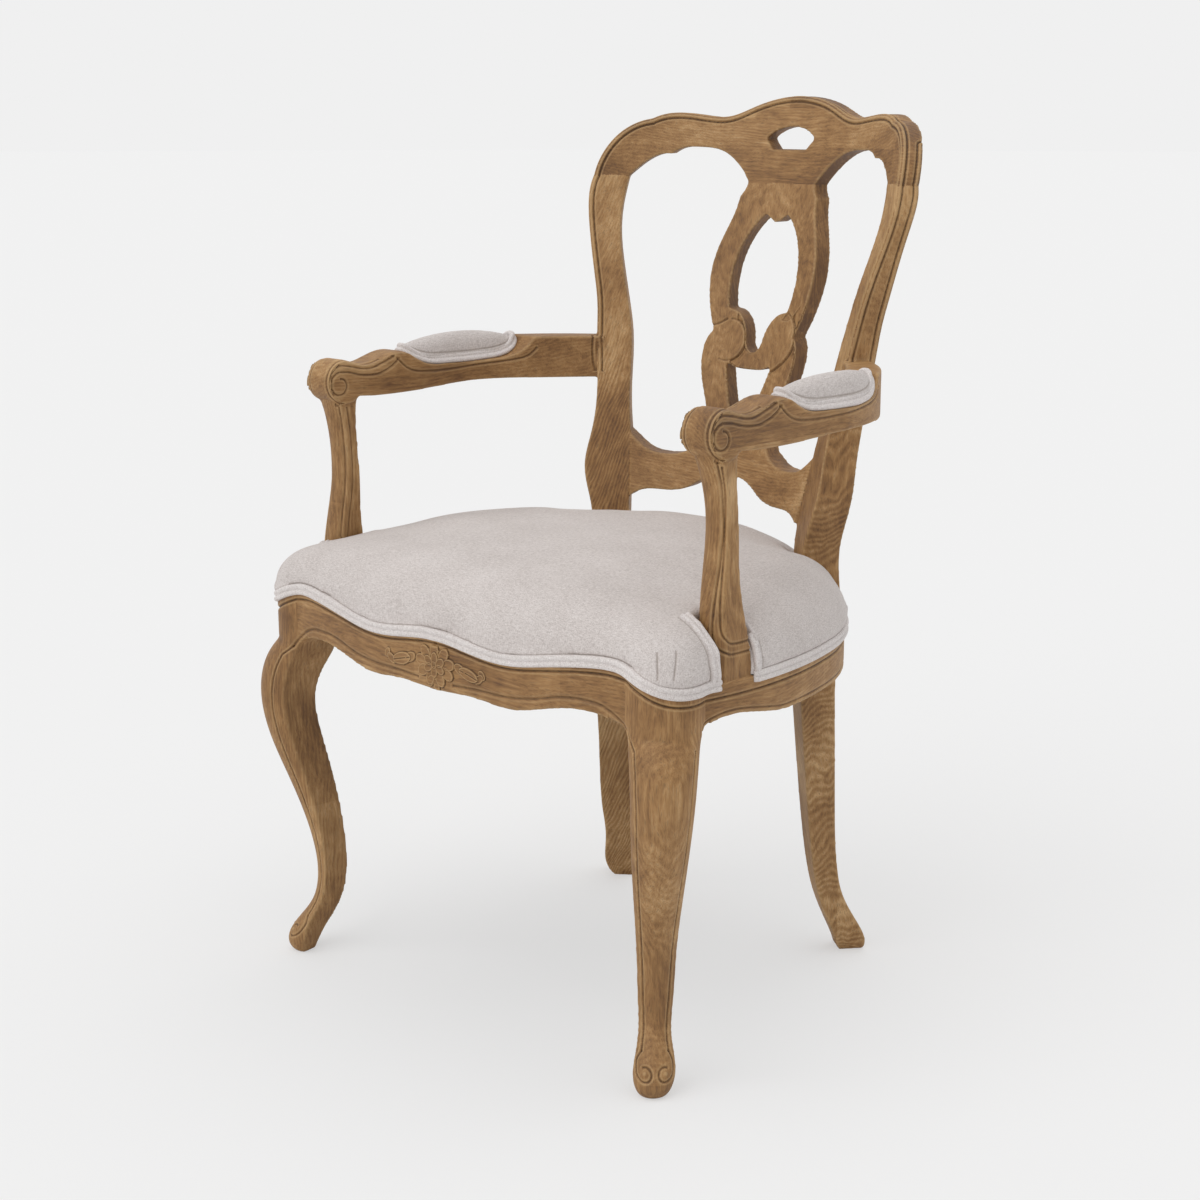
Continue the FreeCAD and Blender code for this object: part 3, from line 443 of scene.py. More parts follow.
# %% Lines of the welt
def edge_run(node, keep, centre, step):
    """Edges of a solid as one run of points, in order of their bearing from a centre, seen from above."""
    points = arris(node, keep)
    bearing = np.arctan2(points[:, 0] - centre[0], centre[1] - points[:, 1])
    order = np.argsort(bearing)
    grid = np.arange(bearing.min(), bearing.max(), step)
    return np.stack([np.interp(grid, bearing[order], points[order, k]) for k in range(3)], 1)


def unit(vectors):
    return vectors / np.linalg.norm(vectors, axis=1, keepdims=True)


def heading(line, closed=False):
    """Directions along a line of close points."""
    return unit(np.roll(line, -1, 0) - np.roll(line, 1, 0) if closed else np.gradient(line, axis=0))


def level_out(line, closed=False):
    """Level directions that point out of a line seen from above, for one that runs anticlockwise."""
    ahead = heading(line, closed)
    return unit(np.stack([ahead[:, 1], -ahead[:, 0], 0 * ahead[:, 0]], 1))


def smooth_run(line, rounds):
    for _ in range(rounds):
        line[1:-1] = 0.5 * line[1:-1] + 0.25 * (line[:-2] + line[2:])
    return line


def welt_edge(way):
    """Chooses the outer edge of a welt, the upper one for 1 and the lower one for -1."""
    def keep(middle, flat, outer):
        outside = outer.x * middle.x + outer.y * (middle.y - SEAT_MIDDLE[1]) > 0
        return flat.z * way > 0.6 and abs(outer.z) < 0.5 and outside
    return keep


SEAT_MIDDLE = (0, -60)
WELT_LIFT = ([0, 60, 110, 200, 300], [0.5, 2.5, 4.0, 5.0, 5.5])   # for distances from the middle of the chair
welt_runs, welt_feet = {}, {}
for node in ("seat_welt_front", "seat_welt_left", "seat_welt_right"):
    upper_run, lower_run = [edge_run(node, welt_edge(way), SEAT_MIDDLE, 0.006) for way in (1, -1)]
    count = min(len(upper_run), len(lower_run))
    middle_run = smooth_run((upper_run[:count] + lower_run[:count]) / 2, 6)
    middle_run[:, 2] += np.interp(np.abs(middle_run[:, 0]), *WELT_LIFT)
    welt_runs[node] = (middle_run, level_out(middle_run))
    welt_feet[node] = lower_run
    print(node, count, "points, from", middle_run[0].round(0), "to", middle_run[-1].round(0))

# %% [markdown]
# Below the welt the seat rail shows a narrow flat band with a groove under it. The line follows the curved top of
# the front rail, dips round the corner of the leg and runs level along the side. The lower edge of the front rail
# carries a roll that turns down into the rib of the leg.

# %% Seat rails
foot = welt_feet["seat_welt_front"]
foot = foot[foot[:, 0] > -2][::6]
foot_side = welt_feet["seat_welt_right"][::6]
gap = np.interp(np.abs(foot[:, 0]), [0, 60, 120, 250, 300], [4.0, 2.0, 0.5, 1.5, 3.0])
band = np.concatenate([foot - gap[:, None] * [0, 0, 1], foot_side - [0, 0, 3.0]])
roll = [(28, -316, 394), (60, -315, 395.5), (97, -313, 395.5), (136, -310, 399), (174, -306, 408),
        (202, -302.6, 410.5), (227, -299, 408.5), (248, -296, 398), (264, -298, 382)]
for turn in TURNS.values():
    cut("rail band", laid_on(oak_tree, turn(stroke(band))), gouge(2.2, 1.5), 7)
    cut("rail roll", laid_on(oak_tree, turn(stroke(roll))), gouge(1.7, 2.0), 8)


def lower_edge(middle, under, outer):
    return under.z < -0.5 and outwards(middle, outer) > 0.4 and abs(outer.z) < 0.3


for side in sides:
    cut("side rail bead " + side, arris("side_seat_rail_" + side, lower_edge), gouge(1.2, 1.3, 5.0), 9,
        where=lambda places, normals: np.abs(normals[:, 2]) < 0.6)

# %% [markdown]
# The front legs have a rib along each side: a bead with a groove beside it, from the seat rail down to a small
# scroll with a button on the toe. A carver would run a pencil down the leg with a finger along its outline, and so
# does this: at each height the groove keeps the same distance from the outline, as seen along the corner of the
# chair. The ridge in front is rubbed round.

# %% Front legs
LEG = np.array([283.0, -279.0])   # x and y of the ridge of the right leg, in mm
RIB = 4.8
TOE = 28
leg_spots = read(skin, "places", 3) / MM
leg_spots = leg_spots[(leg_spots[:, 0] > 225) & (leg_spots[:, 1] < -215) & (leg_spots[:, 2] < KNEE)]
leg_sideways = (leg_spots[:, :2] - LEG).sum(1) / math.sqrt(2)


def on_leg(sideways, z):
    """The place on the front of the right leg that lies sideways from its ridge, seen along the corner diagonal."""
    start = (LEG + [(sideways + 150) / math.sqrt(2), (sideways - 150) / math.sqrt(2)]) * MM
    hit = oak_tree.ray_cast(Vector((start[0], start[1], z * MM)), Vector((-1, 1, 0)).normalized())[0]
    return np.array(hit) / MM


def rib_line(hand):
    """A groove that keeps a rib's width from the outline of the leg, from the knee to the ankle."""
    line = []
    for z in np.arange(46, 372, 1.5):
        level = leg_sideways[np.abs(leg_spots[:, 2] - z) < 2]
        edge = level.max() if hand > 0 else level.min()
        line.append(on_leg(edge - hand * RIB, z))
    return smooth_run(np.array(line), 6)


def leg_ridge(middle, one, other):
    x, y = abs(middle.x) - LEG[0], middle.y - LEG[1]
    return 40 < middle.z < 425 and abs(x + y) < 13 and one.y < 0 and other.y < 0


ribs = {hand: rib_line(hand) for hand in (-1, 1)}
ribs[-1] = np.concatenate([ribs[-1], laid_on(oak_tree, stroke([ribs[-1][-1], roll[-1]]))])
for side, turn in TURNS.items():
    cut("leg ridge " + side, arris("front_leg_" + side, leg_ridge),
        lambda away: -1.6 * np.clip(1 - away / 10, 0, 1) ** 2, 11, grade="rough")
    for hand in (-1, 1):
        cut("leg rib " + side, turn(ribs[hand]), gouge(1.7, 1.4), 6)
        turns = np.linspace(0, 1.6 * math.pi, 40)
        reach = 9.0 - 3.6 * turns / turns[-1]
        scroll = [on_leg(hand * (10.6 + r * math.cos(t)) + 1.5, TOE - r * math.sin(t))
                  for t, r in zip(turns, reach)]
        rise = stroke([scroll[0], on_leg(hand * 19.0 + 1.5, 37), ribs[hand][0]])
        cut("toe scroll " + side, turn(np.concatenate([scroll, rise])), gouge(1.5, 1.4), 5)
        cut("toe button " + side, turn(on_leg(hand * 10.6 + 1.5, TOE)[None]),
            lambda away: 1.5 * np.exp(-(away / 2.6) ** 2), 7)

# %% [markdown]
# Each arm ends in a scroll. A groove winds out of its eye, runs back along the upper side and curls up where the
# pad begins; a second one keeps a bead's width from the top edge, and a third follows the dip under the pad. All
# of them are drawn on the side view of the arm, in y and z, and cut into both faces. The top edges are rubbed
# round, more than the rest, because that is where hands lie.

# %% Arms
def arm_sides(places, normals):
    return (np.abs(normals[:, 0]) > 0.45) & (np.abs(places[:, 0]) > 235)


SIDE_VIEW = (1, 2)
EYE = (-214.0, 675.5)   # of the scroll, in the side view
turns = np.radians(np.linspace(85, -272, 40))
reach = 8.0 + 7.6 * np.linspace(0, 1, 40) ** 1.3
spiral = [(EYE[0] + r * math.cos(t), EYE[1] + r * math.sin(t)) for t, r in zip(turns, reach)]
upper = [(-201, 689.8), (-187, 686.4), (-174, 684.5), (-160, 684.2), (-147, 687), (-135, 692), (-124, 699.5)]
edge_line = [(-213, 651), (-220, 657.5), (-226.5, 666), (-229.5, 676), (-228.5, 686), (-223, 694.5), (-214, 698.4),
             (-203, 697.4), (-190, 694.6), (-177, 692), (-165, 692), (-154, 695), (-140, 699.6), (-131, 703)]
under_pad = [(-126.5, 700), (-119, 693), (-110, 686.8), (-98, 682.6), (-84, 680.9), (-63, 680), (-34, 680.3),
             (3, 681.8), (46, 684.8), (64, 689), (74, 698)]
cut("arm spiral", stroke(spiral + upper), gouge(1.7, 1.5), 6, SIDE_VIEW, arm_sides)
cut("arm edge line", stroke(edge_line), gouge(1.5, 1.4), 6, SIDE_VIEW, arm_sides)
cut("arm line under the pad", stroke(under_pad), gouge(1.5, 1.5), 6, SIDE_VIEW, arm_sides)


def arm_top_edge(middle, top, side_face):
    level = abs(side_face.z) < 0.4 and abs(side_face.x) > 0.4
    return level and (top.z > 0.5 or top.y < -0.4) and middle.y < -112 and middle.z > 655


for side in sides:
    cut("arm round " + side, arris("arm_" + side, arm_top_edge),
        lambda away: -3.4 * np.clip(1 - away / 12, 0, 1) ** 2, 13, grade="rough")
    cut("arm rim " + side, arris("arm_" + side, arm_top_edge), gouge(1.2, 1.4, 7.5), 12,
        where=lambda places, normals: (np.abs(normals[:, 0]) < 0.6) & (places[:, 1] < -150))

# %% [markdown]
# An arm post has a bead down its front outer corner between two grooves. Near the seat the bead turns round and
# runs back across the outer face, so the grooves make a nest of two hooks there. They are drawn through points in
# mm and then laid onto the wood.

# %% Arm posts
groove_outer = [(303, -213, 650), (303.4, -206, 627), (303, -203, 604), (303, -201.6, 582), (302, -203.4, 560),
                (301.7, -207, 538), (301, -211, 517), (300.7, -214, 499), (301.2, -216, 477), (306, -214.7, 466),
                (314.9, -204.6, 459), (315.2, -192, 457.6), (315.2, -172, 457.5)]
groove_inner = [(306.5, -210, 646), (306, -204.5, 625), (305, -202, 604), (304.3, -201.3, 582), (303.9, -202, 560),
                (304.5, -205, 538), (305.8, -208.6, 517), (307.5, -211, 495), (310, -211, 480),
                (314.2, -203.5, 470.5), (315.2, -193, 468), (315.2, -172, 467.8)]


def post_inner_edge(middle, front, other):
    return 500 < middle.z < 662 and front.y < -0.4 and outwards(middle, other) < -0.5


for side, turn in TURNS.items():
    for groove in (groove_outer, groove_inner):
        cut("post groove " + side, laid_on(oak_tree, turn(stroke(groove))), gouge(1.7, 1.5), 6)
    cut("post inner line " + side, arris("arm_post_" + side, post_inner_edge), gouge(1.0, 1.3, 5.0), 9,
        where=lambda places, normals: places[:, 2] < 650)

# %% [markdown]
# Now the cutting. The skin is divided again near the fine lines, so that a groove 3 mm wide has enough points
# across it. Then each point moves along its normal by the section of every cut that it is near to.

# %% Carve
def nearest_to(points):
    """A search tree over points."""
    tree = KDTree(len(points))
    for number, point in enumerate(deep(points)):
        tree.insert(point, number)
    tree.balance()
    return tree


def deep(points):
    """Points with three coordinates, the third one zero where there were two."""
    return np.pad(points, ((0, 0), (0, 3 - points.shape[1])))


def distances(tree, points):
    """Distance of each point to the nearest one in a search tree."""
    return np.array([tree.find(point)[2] for point in deep(points)])


def away_from(places, line, reach, plane):
    """Distance of each place to a line of close points, where it is less than reach, infinite elsewhere."""
    flat = places if plane is None else places[:, plane]
    close = np.nonzero(((flat > line.min(0) - reach) & (flat < line.max(0) + reach)).all(1))[0]
    away = np.full(len(places), np.inf)
    away[close] = distances(nearest_to(line), flat[close])
    away[away > reach] = np.inf
    return away


def carved(places, normals, wanted):
    """Heights in mm that the wanted cuts give each place."""
    height = np.zeros(len(places))
    for line, section, reach, plane, where in wanted:
        away = away_from(places, line, reach, plane)
        touched = np.nonzero(np.isfinite(away))[0]
        if where is not None and len(touched):
            touched = touched[where(places[touched], normals[touched])]
        if len(touched):
            height[touched] += section(away[touched])
    return height


places, normals = read(skin, "places", 3) / MM, read(skin, "normals", 3)
places += normals * carved(places, normals, cuts["rough"])[:, None]
set_places(skin, places)
busy = np.zeros(len(places), bool)
for line, _, reach, plane, _ in cuts["fine"]:
    busy |= np.isfinite(away_from(places, line, reach, plane))
finer_where(skin, busy)
places, normals = read(skin, "places", 3) / MM, read(skin, "normals", 3)
depth = carved(places, normals, cuts["fine"])
set_places(skin, places + normals * depth[:, None])
print("carved", sum(map(len, cuts.values())), "lines into", len(places), "points, by up to", -depth.min().round(2))

# %% [markdown]
# In the middle of the front rail sits a flower between two leaves. Each petal and leaf is an oval on the face of
# the rail with its own height, highest at its rim, so that overlapping petals read one over the other. The mesh
# there is divided twice more, because a petal is less than 20 mm long.

# %% Flower
FLOWER = (2.0, 412.5)   # x and z of its middle, in mm
petals = []
for count, reach, size, lift, start in ((9, 17.5, (9.5, 6.6), 2.4, 0.2), (6, 8.5, (7.0, 5.0), 3.4, 0.5)):
    for number in range(count):
        turn = start + 2 * math.pi * number / count
        x, z = FLOWER[0] + 1.22 * reach * math.cos(turn), FLOWER[1] + 0.86 * reach * math.sin(turn)
        petals.append((x, z, turn, *size, lift))
petals += [(*FLOWER, 0.0, 4.2, 4.2, 3.9),
           (-38, 414, 0.45, 9, 5.5, 2.0), (-52, 410, 0.25, 16, 7.0, 2.6), (-70, 407, -0.6, 8, 4.5, 1.8),
           (-77, 412, 1.1, 6, 4, 1.5), (40, 414, -0.45, 9, 5.5, 2.0), (53, 410.5, -0.25, 15, 6.5, 2.6),
           (68, 408, 0.7, 8, 4.2, 1.8), (72, 413, -0.9, 6, 4, 1.5), (-5, 394, 1.3, 7, 4.4, 2.0),
           (4, 391, 1.9, 7, 4.2, 2.0)]


def relief_of(x, z):
    """Height of the carved flower over the face of the rail, in mm."""
    height = np.zeros(len(x))
    for px, pz, turn, long, wide, lift in petals:
        along = (x - px) * math.cos(turn) + (z - pz) * math.sin(turn)
        across = (z - pz) * math.cos(turn) - (x - px) * math.sin(turn)
        out = np.sqrt((along / long) ** 2 + (across / wide) ** 2)
        vein = 0.5 * np.exp(-(across / 0.8) ** 2) * (long > 12)
        form = np.where(out < 1, lift * (0.62 + 0.38 * out ** 2) - vein, 0)
        form *= np.clip((1.06 - out) / 0.16, 0, 1)
        height = np.maximum(height, form)
        height -= 0.5 * np.exp(-((out - 1.12) / 0.1) ** 2) * (height < 0.3)
    return height


def in_window(places, half, low, high):
    """Places on the front of the rail, half mm to each side and between two heights."""
    x, y, z = places.T
    return (np.abs(x) < half) & (z > low) & (z < high) & (y < -309)


for _ in range(2):
    finer_where(skin, in_window(read(skin, "places", 3) / MM, 86, 384, 434))
places, normals, ends = read(skin, "places", 3) / MM, read(skin, "normals", 3), read(skin, "ends", 2, int)
face = in_window(places, 84, 385, 433) & (normals[:, 1] < -0.5)
places[face, 1] -= relief_of(places[face, 0], places[face, 2])
set_places(skin, places)
print("flower of", len(petals), "petals and leaves, skin now", len(skin.polygons), "faces")

# %% [markdown]
# Age shows in the finish: glaze stays in hollows and is rubbed off edges. Both can be read from the shape. Where
# the neighbours of a point lie above it along its normal, it is in a hollow. The result is stored on the mesh
# as a number from 0, deep in a groove, over 0.5, flat, to 1, a sharp edge.

# %% Age
normals = read(skin, "normals", 3)
lift = ((neighbour_mean(places, ends, len(places)) - places) * normals).sum(1)
length = np.linalg.norm(places[ends[:, 0]] - places[ends[:, 1]], axis=1)
at = ends.ravel()
spacing = np.bincount(at, np.repeat(length, 2), len(places)) / np.bincount(at, minlength=len(places))
hollow = eased((lift / spacing ** 2)[:, None], ends, 2)[:, 0]
age_value = np.clip(0.5 - 1.5 * hollow, 0, 1)
print("age from", round(age_value.min(), 2), "to", round(age_value.max(), 2))

# %% [markdown]
# Last, the skin is cut apart into the pieces of the chair: each face goes to the CAD solid that it lies on. Every
# piece gets the direction of its grain. Legs, stiles, posts and splat have it upright, the crest and front rail
# across the chair, the arms and side rails from front to back, as a chair maker lays out the wood. On the crest,
# splat and lower rail every face that does not look to the front or back gets a darker tone: painted shade on the
# sawn sides, and in part the end grain there, which drinks more stain.

# %% Pieces of oak
along = {"crest_rail": "x", "front_seat_rail": "x", "back_seat_rail": "x", "lower_back_rail": "x", "arm": "y",
         "side_seat_rail": "y"}
orders = {"x": [2, 1, 0], "y": [2, 0, 1], "z": [0, 1, 2]}
figures = {"rear_leg": 0.22, "front_leg": 0.1, "arm_post": 0.12}
tones = {"rear_leg": 0.03, "back_splat": -0.02, "arm_post": -0.02}
LEAN = math.radians(20)   # of the grain of the rear legs, which are sawn out of a plank at a slant
rng = np.random.default_rng(7)
best = np.full(len(places), 1e9)
owner = np.zeros(len(places), int)
for number, node in enumerate(oak_nodes):
    near = tree_of(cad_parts[node].data)
    low, high = [np.array(corner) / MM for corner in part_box(node)]
    close = np.nonzero(((places > low - 5) & (places < high + 5)).all(1))[0]
    for i in close:
        hit = near.find_nearest(places[i] * MM, 0.012)
        if hit[3] is not None and hit[3] < best[i]:
            best[i], owner[i] = hit[3], number


def finished(piece, material, slot, *nodes):
    """Material, smooth shading, body and the CAD solids that a piece stands for; slot is not used."""
    piece.data.materials.append(material)
    piece.data.polygons.foreach_set("use_smooth", [True] * len(piece.data.polygons))
    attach(piece, "root")
    if nodes:
        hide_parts(*nodes)
    return piece


faces = [tuple(p.vertices) for p in skin.polygons]
face_owner = np.array([np.bincount(owner[list(f)]).argmax() for f in faces])
for number, node in enumerate(oak_nodes):
    mine = [faces[i] for i in np.nonzero(face_owner == number)[0]]
    used = np.unique(np.concatenate([np.array(f) for f in mine]))
    place_of = {old: new for new, old in enumerate(used)}
    mesh = bpy.data.meshes.new("oak_" + node)
    mesh.from_pydata((places[used] * MM).tolist(), [], [[place_of[i] for i in f] for f in mine])
    kind = node.replace("_left", "").replace("_right", "")
    mine_at = places[used]
    turned = mine_at[:, orders[along.get(kind, "z")]] + rng.uniform(-400, 400, 3) * [0.15, 0.15, 1] + [55, 20, 0]
    figure = np.full(len(used), figures.get(kind, 0.1))
    tone = np.full(len(used), tones.get(kind, 0.0))
    if kind == "rear_leg":
        x, y, z = (mine_at * [math.copysign(1, mine_at[:, 0].mean()), 1, 1]).T
        out, aside = 0.77 * x - 0.64 * y, 0.64 * x + 0.77 * y
        turned = np.stack([out * math.cos(LEAN) + z * math.sin(LEAN) + 13, aside - 237, z - out * math.sin(LEAN)], 1)
        figure *= np.interp(mine_at[:, 2], [0, 340, 420, 480, 660, 720], [1, 1, 0.4, 1, 1, 0.3])
        tone += np.interp(mine_at[:, 2], [0, 380, 480, 640, 720, 860], [0.06, 0.06, -0.04, 0, 0.05, 0.03])
    # Painted shade: faces that do not look to the front or back are darkened, in part also for end grain
    if kind in ("crest_rail", "back_splat", "lower_back_rail"):
        tone -= 0.2 * np.clip((0.8 - np.abs(normals[used, 1])) / 0.5, 0, 1)
    look = np.stack([age_value[used], figure, tone], 1)
    for title, values in (("grain", turned), ("look", look)):
        field = mesh.attributes.new(title, "FLOAT_VECTOR", "POINT")
        field.data.foreach_set("vector", values.astype(np.float32).ravel())
    finished(linked("oak_" + node, mesh), oak, "oak", node)
    print("oak_" + node, len(mine), "faces")

# %% [markdown]
# The seat and the arm pads are covered in linen: a plain weave of slubby greige yarns. Close to, the eye sees
# lighter and darker threads crossing, and from further off a heathered tone with little shine. Real threads are
# about 0.5 mm apart, too fine to show, so they are drawn at 0.9 mm. A thread runs along one axis, so three
# stretched noises, one for each axis, give crossing threads on every side of a cushion without any unwrapping. An
# attribute named fold marks seams and pleats, where the cloth turns in and lies in shade.

# %% Linen
def woven(name, tones, spacing, slub, depth, shade="#85776B"):
    """A plain-woven cloth: hex tones from dark to light, thread spacing and slub length in mm, shade in folds."""
    made, tree = blank(name)
    spot = add(tree, "TexCoord").outputs["Object"]
    spot = add(tree, "VectorMath", {0: spot, "Scale": 1000.0}, operation="SCALE").outputs[0]
    total = None
    for axis in range(3):
        stretch = [1 / spacing] * 3
        stretch[axis] = 1 / slub
        thread = add(tree, "VectorMath", {0: spot, 1: stretch}, operation="MULTIPLY").outputs[0]
        thread = add(tree, "TexNoise", {"Vector": thread, "Scale": 1.0, "Detail": 1.5}).outputs["Fac"]
        if total is not None:
            thread = add(tree, "Math", {0: total, 1: thread}, operation="ADD").outputs[0]
        total = thread
    broad = add(tree, "TexNoise", {"Vector": spot, "Scale": 1 / 55, "Detail": 2.0}).outputs["Fac"]
    level = add(tree, "Math", {0: broad, 1: 0.35, 2: total}, operation="MULTIPLY_ADD").outputs[0]
    level = add(tree, "MapRange", {"Value": level, 1: 1.33, 2: 2.02, 3: 0.0, 4: 1.0}).outputs[0]
    tone = add(tree, "ValToRGB", {"Fac": level}, stops=zip((0.0, 0.5, 1.0), tones)).outputs["Color"]
    fold = add(tree, "Attribute", attribute_name="fold").outputs["Fac"]
    tone = add(tree, "Mix", {0: fold, 6: tone, 7: colour(shade)}, data_type="RGBA").outputs[2]
    relief = add(tree, "Bump", {"Strength": 0.5, "Distance": depth * MM, "Height": total}).outputs[0]
    cloth = add(tree, "BsdfPrincipled", {"Base Color": tone, "Normal": relief, "Roughness": 0.92, "IOR": 1.45,
                                         "Specular IOR Level": 0.25, "Sheen Weight": 0.12, "Sheen Roughness": 0.6})
    add(tree, "OutputMaterial", {"Surface": cloth.outputs[0]})
    return made


linen = woven("linen_greige", ("#B6ADA9", "#CBC3BF", "#DAD3D0"), 0.9, 5.0, 0.2)
linen_welt = woven("linen_welt", ("#C4BBB7", "#D7D0CD", "#E5DFDC"), 0.9, 5.0, 0.2)
print(linen.name, linen_welt.name)

# %% [markdown]
# The seat is a thick pad under a tight cover. The CAD solid has its outline, its crown and the notches round the
# posts. To turn it into upholstery it is meshed evenly, its hard crown edge is eased, and Blender's cloth
# solver blows it up a little from inside, with the lower edge and the notches held as tacks would hold them. A
# cap on how far any point may move keeps it within the rails.

# %% Stuffing
def puffed(name, mesh, held, pressure, cap, rounds):
    """A closed skin blown up as cloth: held points fixed, the others moved by cap mm at most, then eased."""
    piece = linked(name, mesh)
    start = flat = read(mesh, "places", 3) / MM
    tacks = piece.vertex_groups.new(name="tacks")
    tacks.add(np.nonzero(held)[0].tolist(), 1.0, "REPLACE")
    cloth = piece.modifiers.new("cloth", "CLOTH")
    rules = cloth.settings
    rules.quality, rules.mass = 5, 0.3
    rules.use_pressure, rules.uniform_pressure_force = True, pressure
    rules.effector_weights.gravity = 0
    rules.vertex_group_mass = "tacks"
    cloth.collision_settings.use_collision = False
    for moment in range(1, 21):
        scene.frame_set(moment)
    blown = piece.evaluated_get(bpy.context.evaluated_depsgraph_get()).to_mesh()
    moved = read(blown, "places", 3) / MM - start
    scene.frame_set(1)
    piece.modifiers.clear()
    far = np.linalg.norm(moved, axis=1, keepdims=True)
    start = start + moved * np.minimum(1, cap / np.maximum(far, 1e-6))
    soft = eased(start, read(mesh, "ends", 2, int), rounds)
    soft[held] = start[held]
    set_places(mesh, soft)
    print(name, "moved by up to", np.linalg.norm(soft - flat, axis=1).max().round(1), "mm")
    return piece


def divided(piece):
    """One round of smooth subdivision, applied."""
    finer = piece.modifiers.new("finer", "SUBSURF")
    finer.levels = finer.render_levels = 1
    mesh = bpy.data.meshes.new_from_object(piece.evaluated_get(bpy.context.evaluated_depsgraph_get()))
    piece.modifiers.clear()
    piece.data = mesh
    return piece


# %% [markdown]
# The cushion is then drawn in where it is tacked under the welt, and pleats and seams are pressed into it as lines.

# %% Seat cushion
SEAT_VOXEL, PAD_VOXEL = 5.0, 2.6
TACKS = 452   # height in mm below which the cover is held
seat_skin = even_skin("seat_cushion", ["seat_foam", "seat_cover"], SEAT_VOXEL)
spots, ends = read(seat_skin, "places", 3) / MM, read(seat_skin, "ends", 2, int)
by_post = (np.abs(spots[:, 0]) > 262) & (spots[:, 1] > -226) & (spots[:, 1] < -164)
held = (spots[:, 2] < TACKS) | by_post
soft = eased(spots, ends, 14)
soft[held] = eased(spots, ends, 2)[held]
set_places(seat_skin, soft)
cushion = divided(puffed("linen_seat", seat_skin, held, 4.0, 6.0, 18))


def tucked(piece, targets, reach):
    """Draws the nearest part of a soft piece to target points in mm, fading out over reach."""
    spots = read(piece.data, "places", 3) / MM
    start = laid_on(tree_of(piece.data), targets)
    nearest = nearest_to(start)
    pull = targets - start
    for i, spot in enumerate(spots):
        _, number, away = nearest.find(spot)
        if away < 3 * reach:
            spots[i] += pull[number] * math.exp(-(away / reach) ** 2)
    set_places(piece.data, spots)
    print(piece.name, "tucked by up to", np.linalg.norm(pull, axis=1).max().round(1), "mm")


def pressed(piece, lines, depth, width):
    """Presses lines in mm into a soft piece and marks them as folds, on a mesh made finer beside them."""
    mesh = piece.data
    nearest = nearest_to(laid_on(tree_of(mesh), lines))
    for reach in (7 * width, 4 * width):
        finer_where(mesh, distances(nearest, read(mesh, "places", 3) / MM) < reach)
    spots, normals = read(mesh, "places", 3) / MM, read(mesh, "normals", 3)
    away = distances(nearest, spots)
    set_places(mesh, spots - normals * (depth * np.exp(-(away / width) ** 2))[:, None])
    kept = mesh.attributes.get("fold") or mesh.attributes.new("fold", "FLOAT", "POINT")
    fold = np.zeros(len(spots), np.float32)
    kept.data.foreach_get("value", fold)
    fold = np.maximum(fold, 0.6 * np.exp(-(away / (0.8 * width)) ** 2))
    kept.data.foreach_set("value", fold.astype(np.float32))
    print(piece.name, "pressed along", len(lines), "points,", len(spots), "points in all")


hem = np.concatenate([run - out * 6.0 + [0, 0, 2.5] for run, out in welt_runs.values()])
tucked(cushion, hem, 13.0)
pleats = [[(294, -290, 474), (298, -294, 462), (300, -295.5, 448)],
          [(307, -274, 475), (311.5, -280, 462), (311.5, -283.5, 447)]]
for turn in TURNS.values():
    pressed(cushion, np.concatenate([turn(stroke(pleat)) for pleat in pleats]), 1.2, 1.1)
seam = [stroke(run - out * 3.0 + [0, 0, 6.2], 1.0) for run, out in welt_runs.values()]
pressed(cushion, np.concatenate(seam), 0.8, 1.2)
finished(cushion, linen, "linen", "seat_cover", "seat_foam")
print("seat cushion", len(cushion.data.polygons), "faces")

# %% [markdown]
# The arm pads are made the same way, smaller: a crowned oval that swells between the tacks along its foot.

# %% Arm pads
HANDS = {"left": -1, "right": 1}
PAD_BEND = ([-20, 4, 16, 28, 40, 52, 64, 76], [0, -1, -3, -6, -8.5, -12, -15, -18])


def arm_bed(side, y):
    """Height in mm of the hollow top of an arm at places along it."""
    tree = tree_of(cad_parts["arm_" + side].data)
    grid = np.arange(-124, 80, 2.0)
    above = [Vector((280 * HANDS[side], at, 900)) * MM for at in grid]
    found = [tree.ray_cast(start, Vector((0, 0, -1)))[0].z / MM for start in above]
    return np.interp(y, grid, smooth_run(np.array(found), 8))


pads = {}
for side in sides:
    pad_skin = even_skin("arm_pad", ["arm_pad_" + side], PAD_VOXEL)
    middle = np.array(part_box("arm_pad_" + side)).mean(0)[:2] / MM
    soft = eased(read(pad_skin, "places", 3) / MM, read(pad_skin, "ends", 2, int), 8)
    above = soft[:, 2] - arm_bed(side, soft[:, 1])
    held = above < 3.0
    drawn = np.interp(above, [0, 9, 14], [0.1, 0.12, 0.2])[:, None]
    soft[:, :2] = middle + (soft[:, :2] - middle) * (1 - drawn * [1.0, 0.3])
    soft[:, 0] += HANDS[side] * np.interp(soft[:, 1], *PAD_BEND)
    set_places(pad_skin, soft)
    pads[side] = divided(puffed("linen_arm_pad_" + side, pad_skin, held, 4.0, 2.5, 4))
    finished(pads[side], linen, "linen", "arm_pad_" + side)

# %% [markdown]
# A double welt covers the tacks: two cords side by side in one strip of linen, 12.6 mm wide. It is modelled
# directly, as a section swept along a line, because a remesh would wipe out the furrow between the cords. Along
# the rails it follows the lines that were read from the CAD solids above.

# %% Welt
WELT = [(-6.3, -5.0), (-6.3, 0.8), (-5.6, 2.6), (-3.7, 3.5), (-1.8, 3.1), (-0.6, 2.1), (0, 1.6), (0.6, 2.1),
        (1.8, 3.1), (3.7, 3.5), (5.6, 2.6), (6.3, 0.8), (6.3, -5.0)]


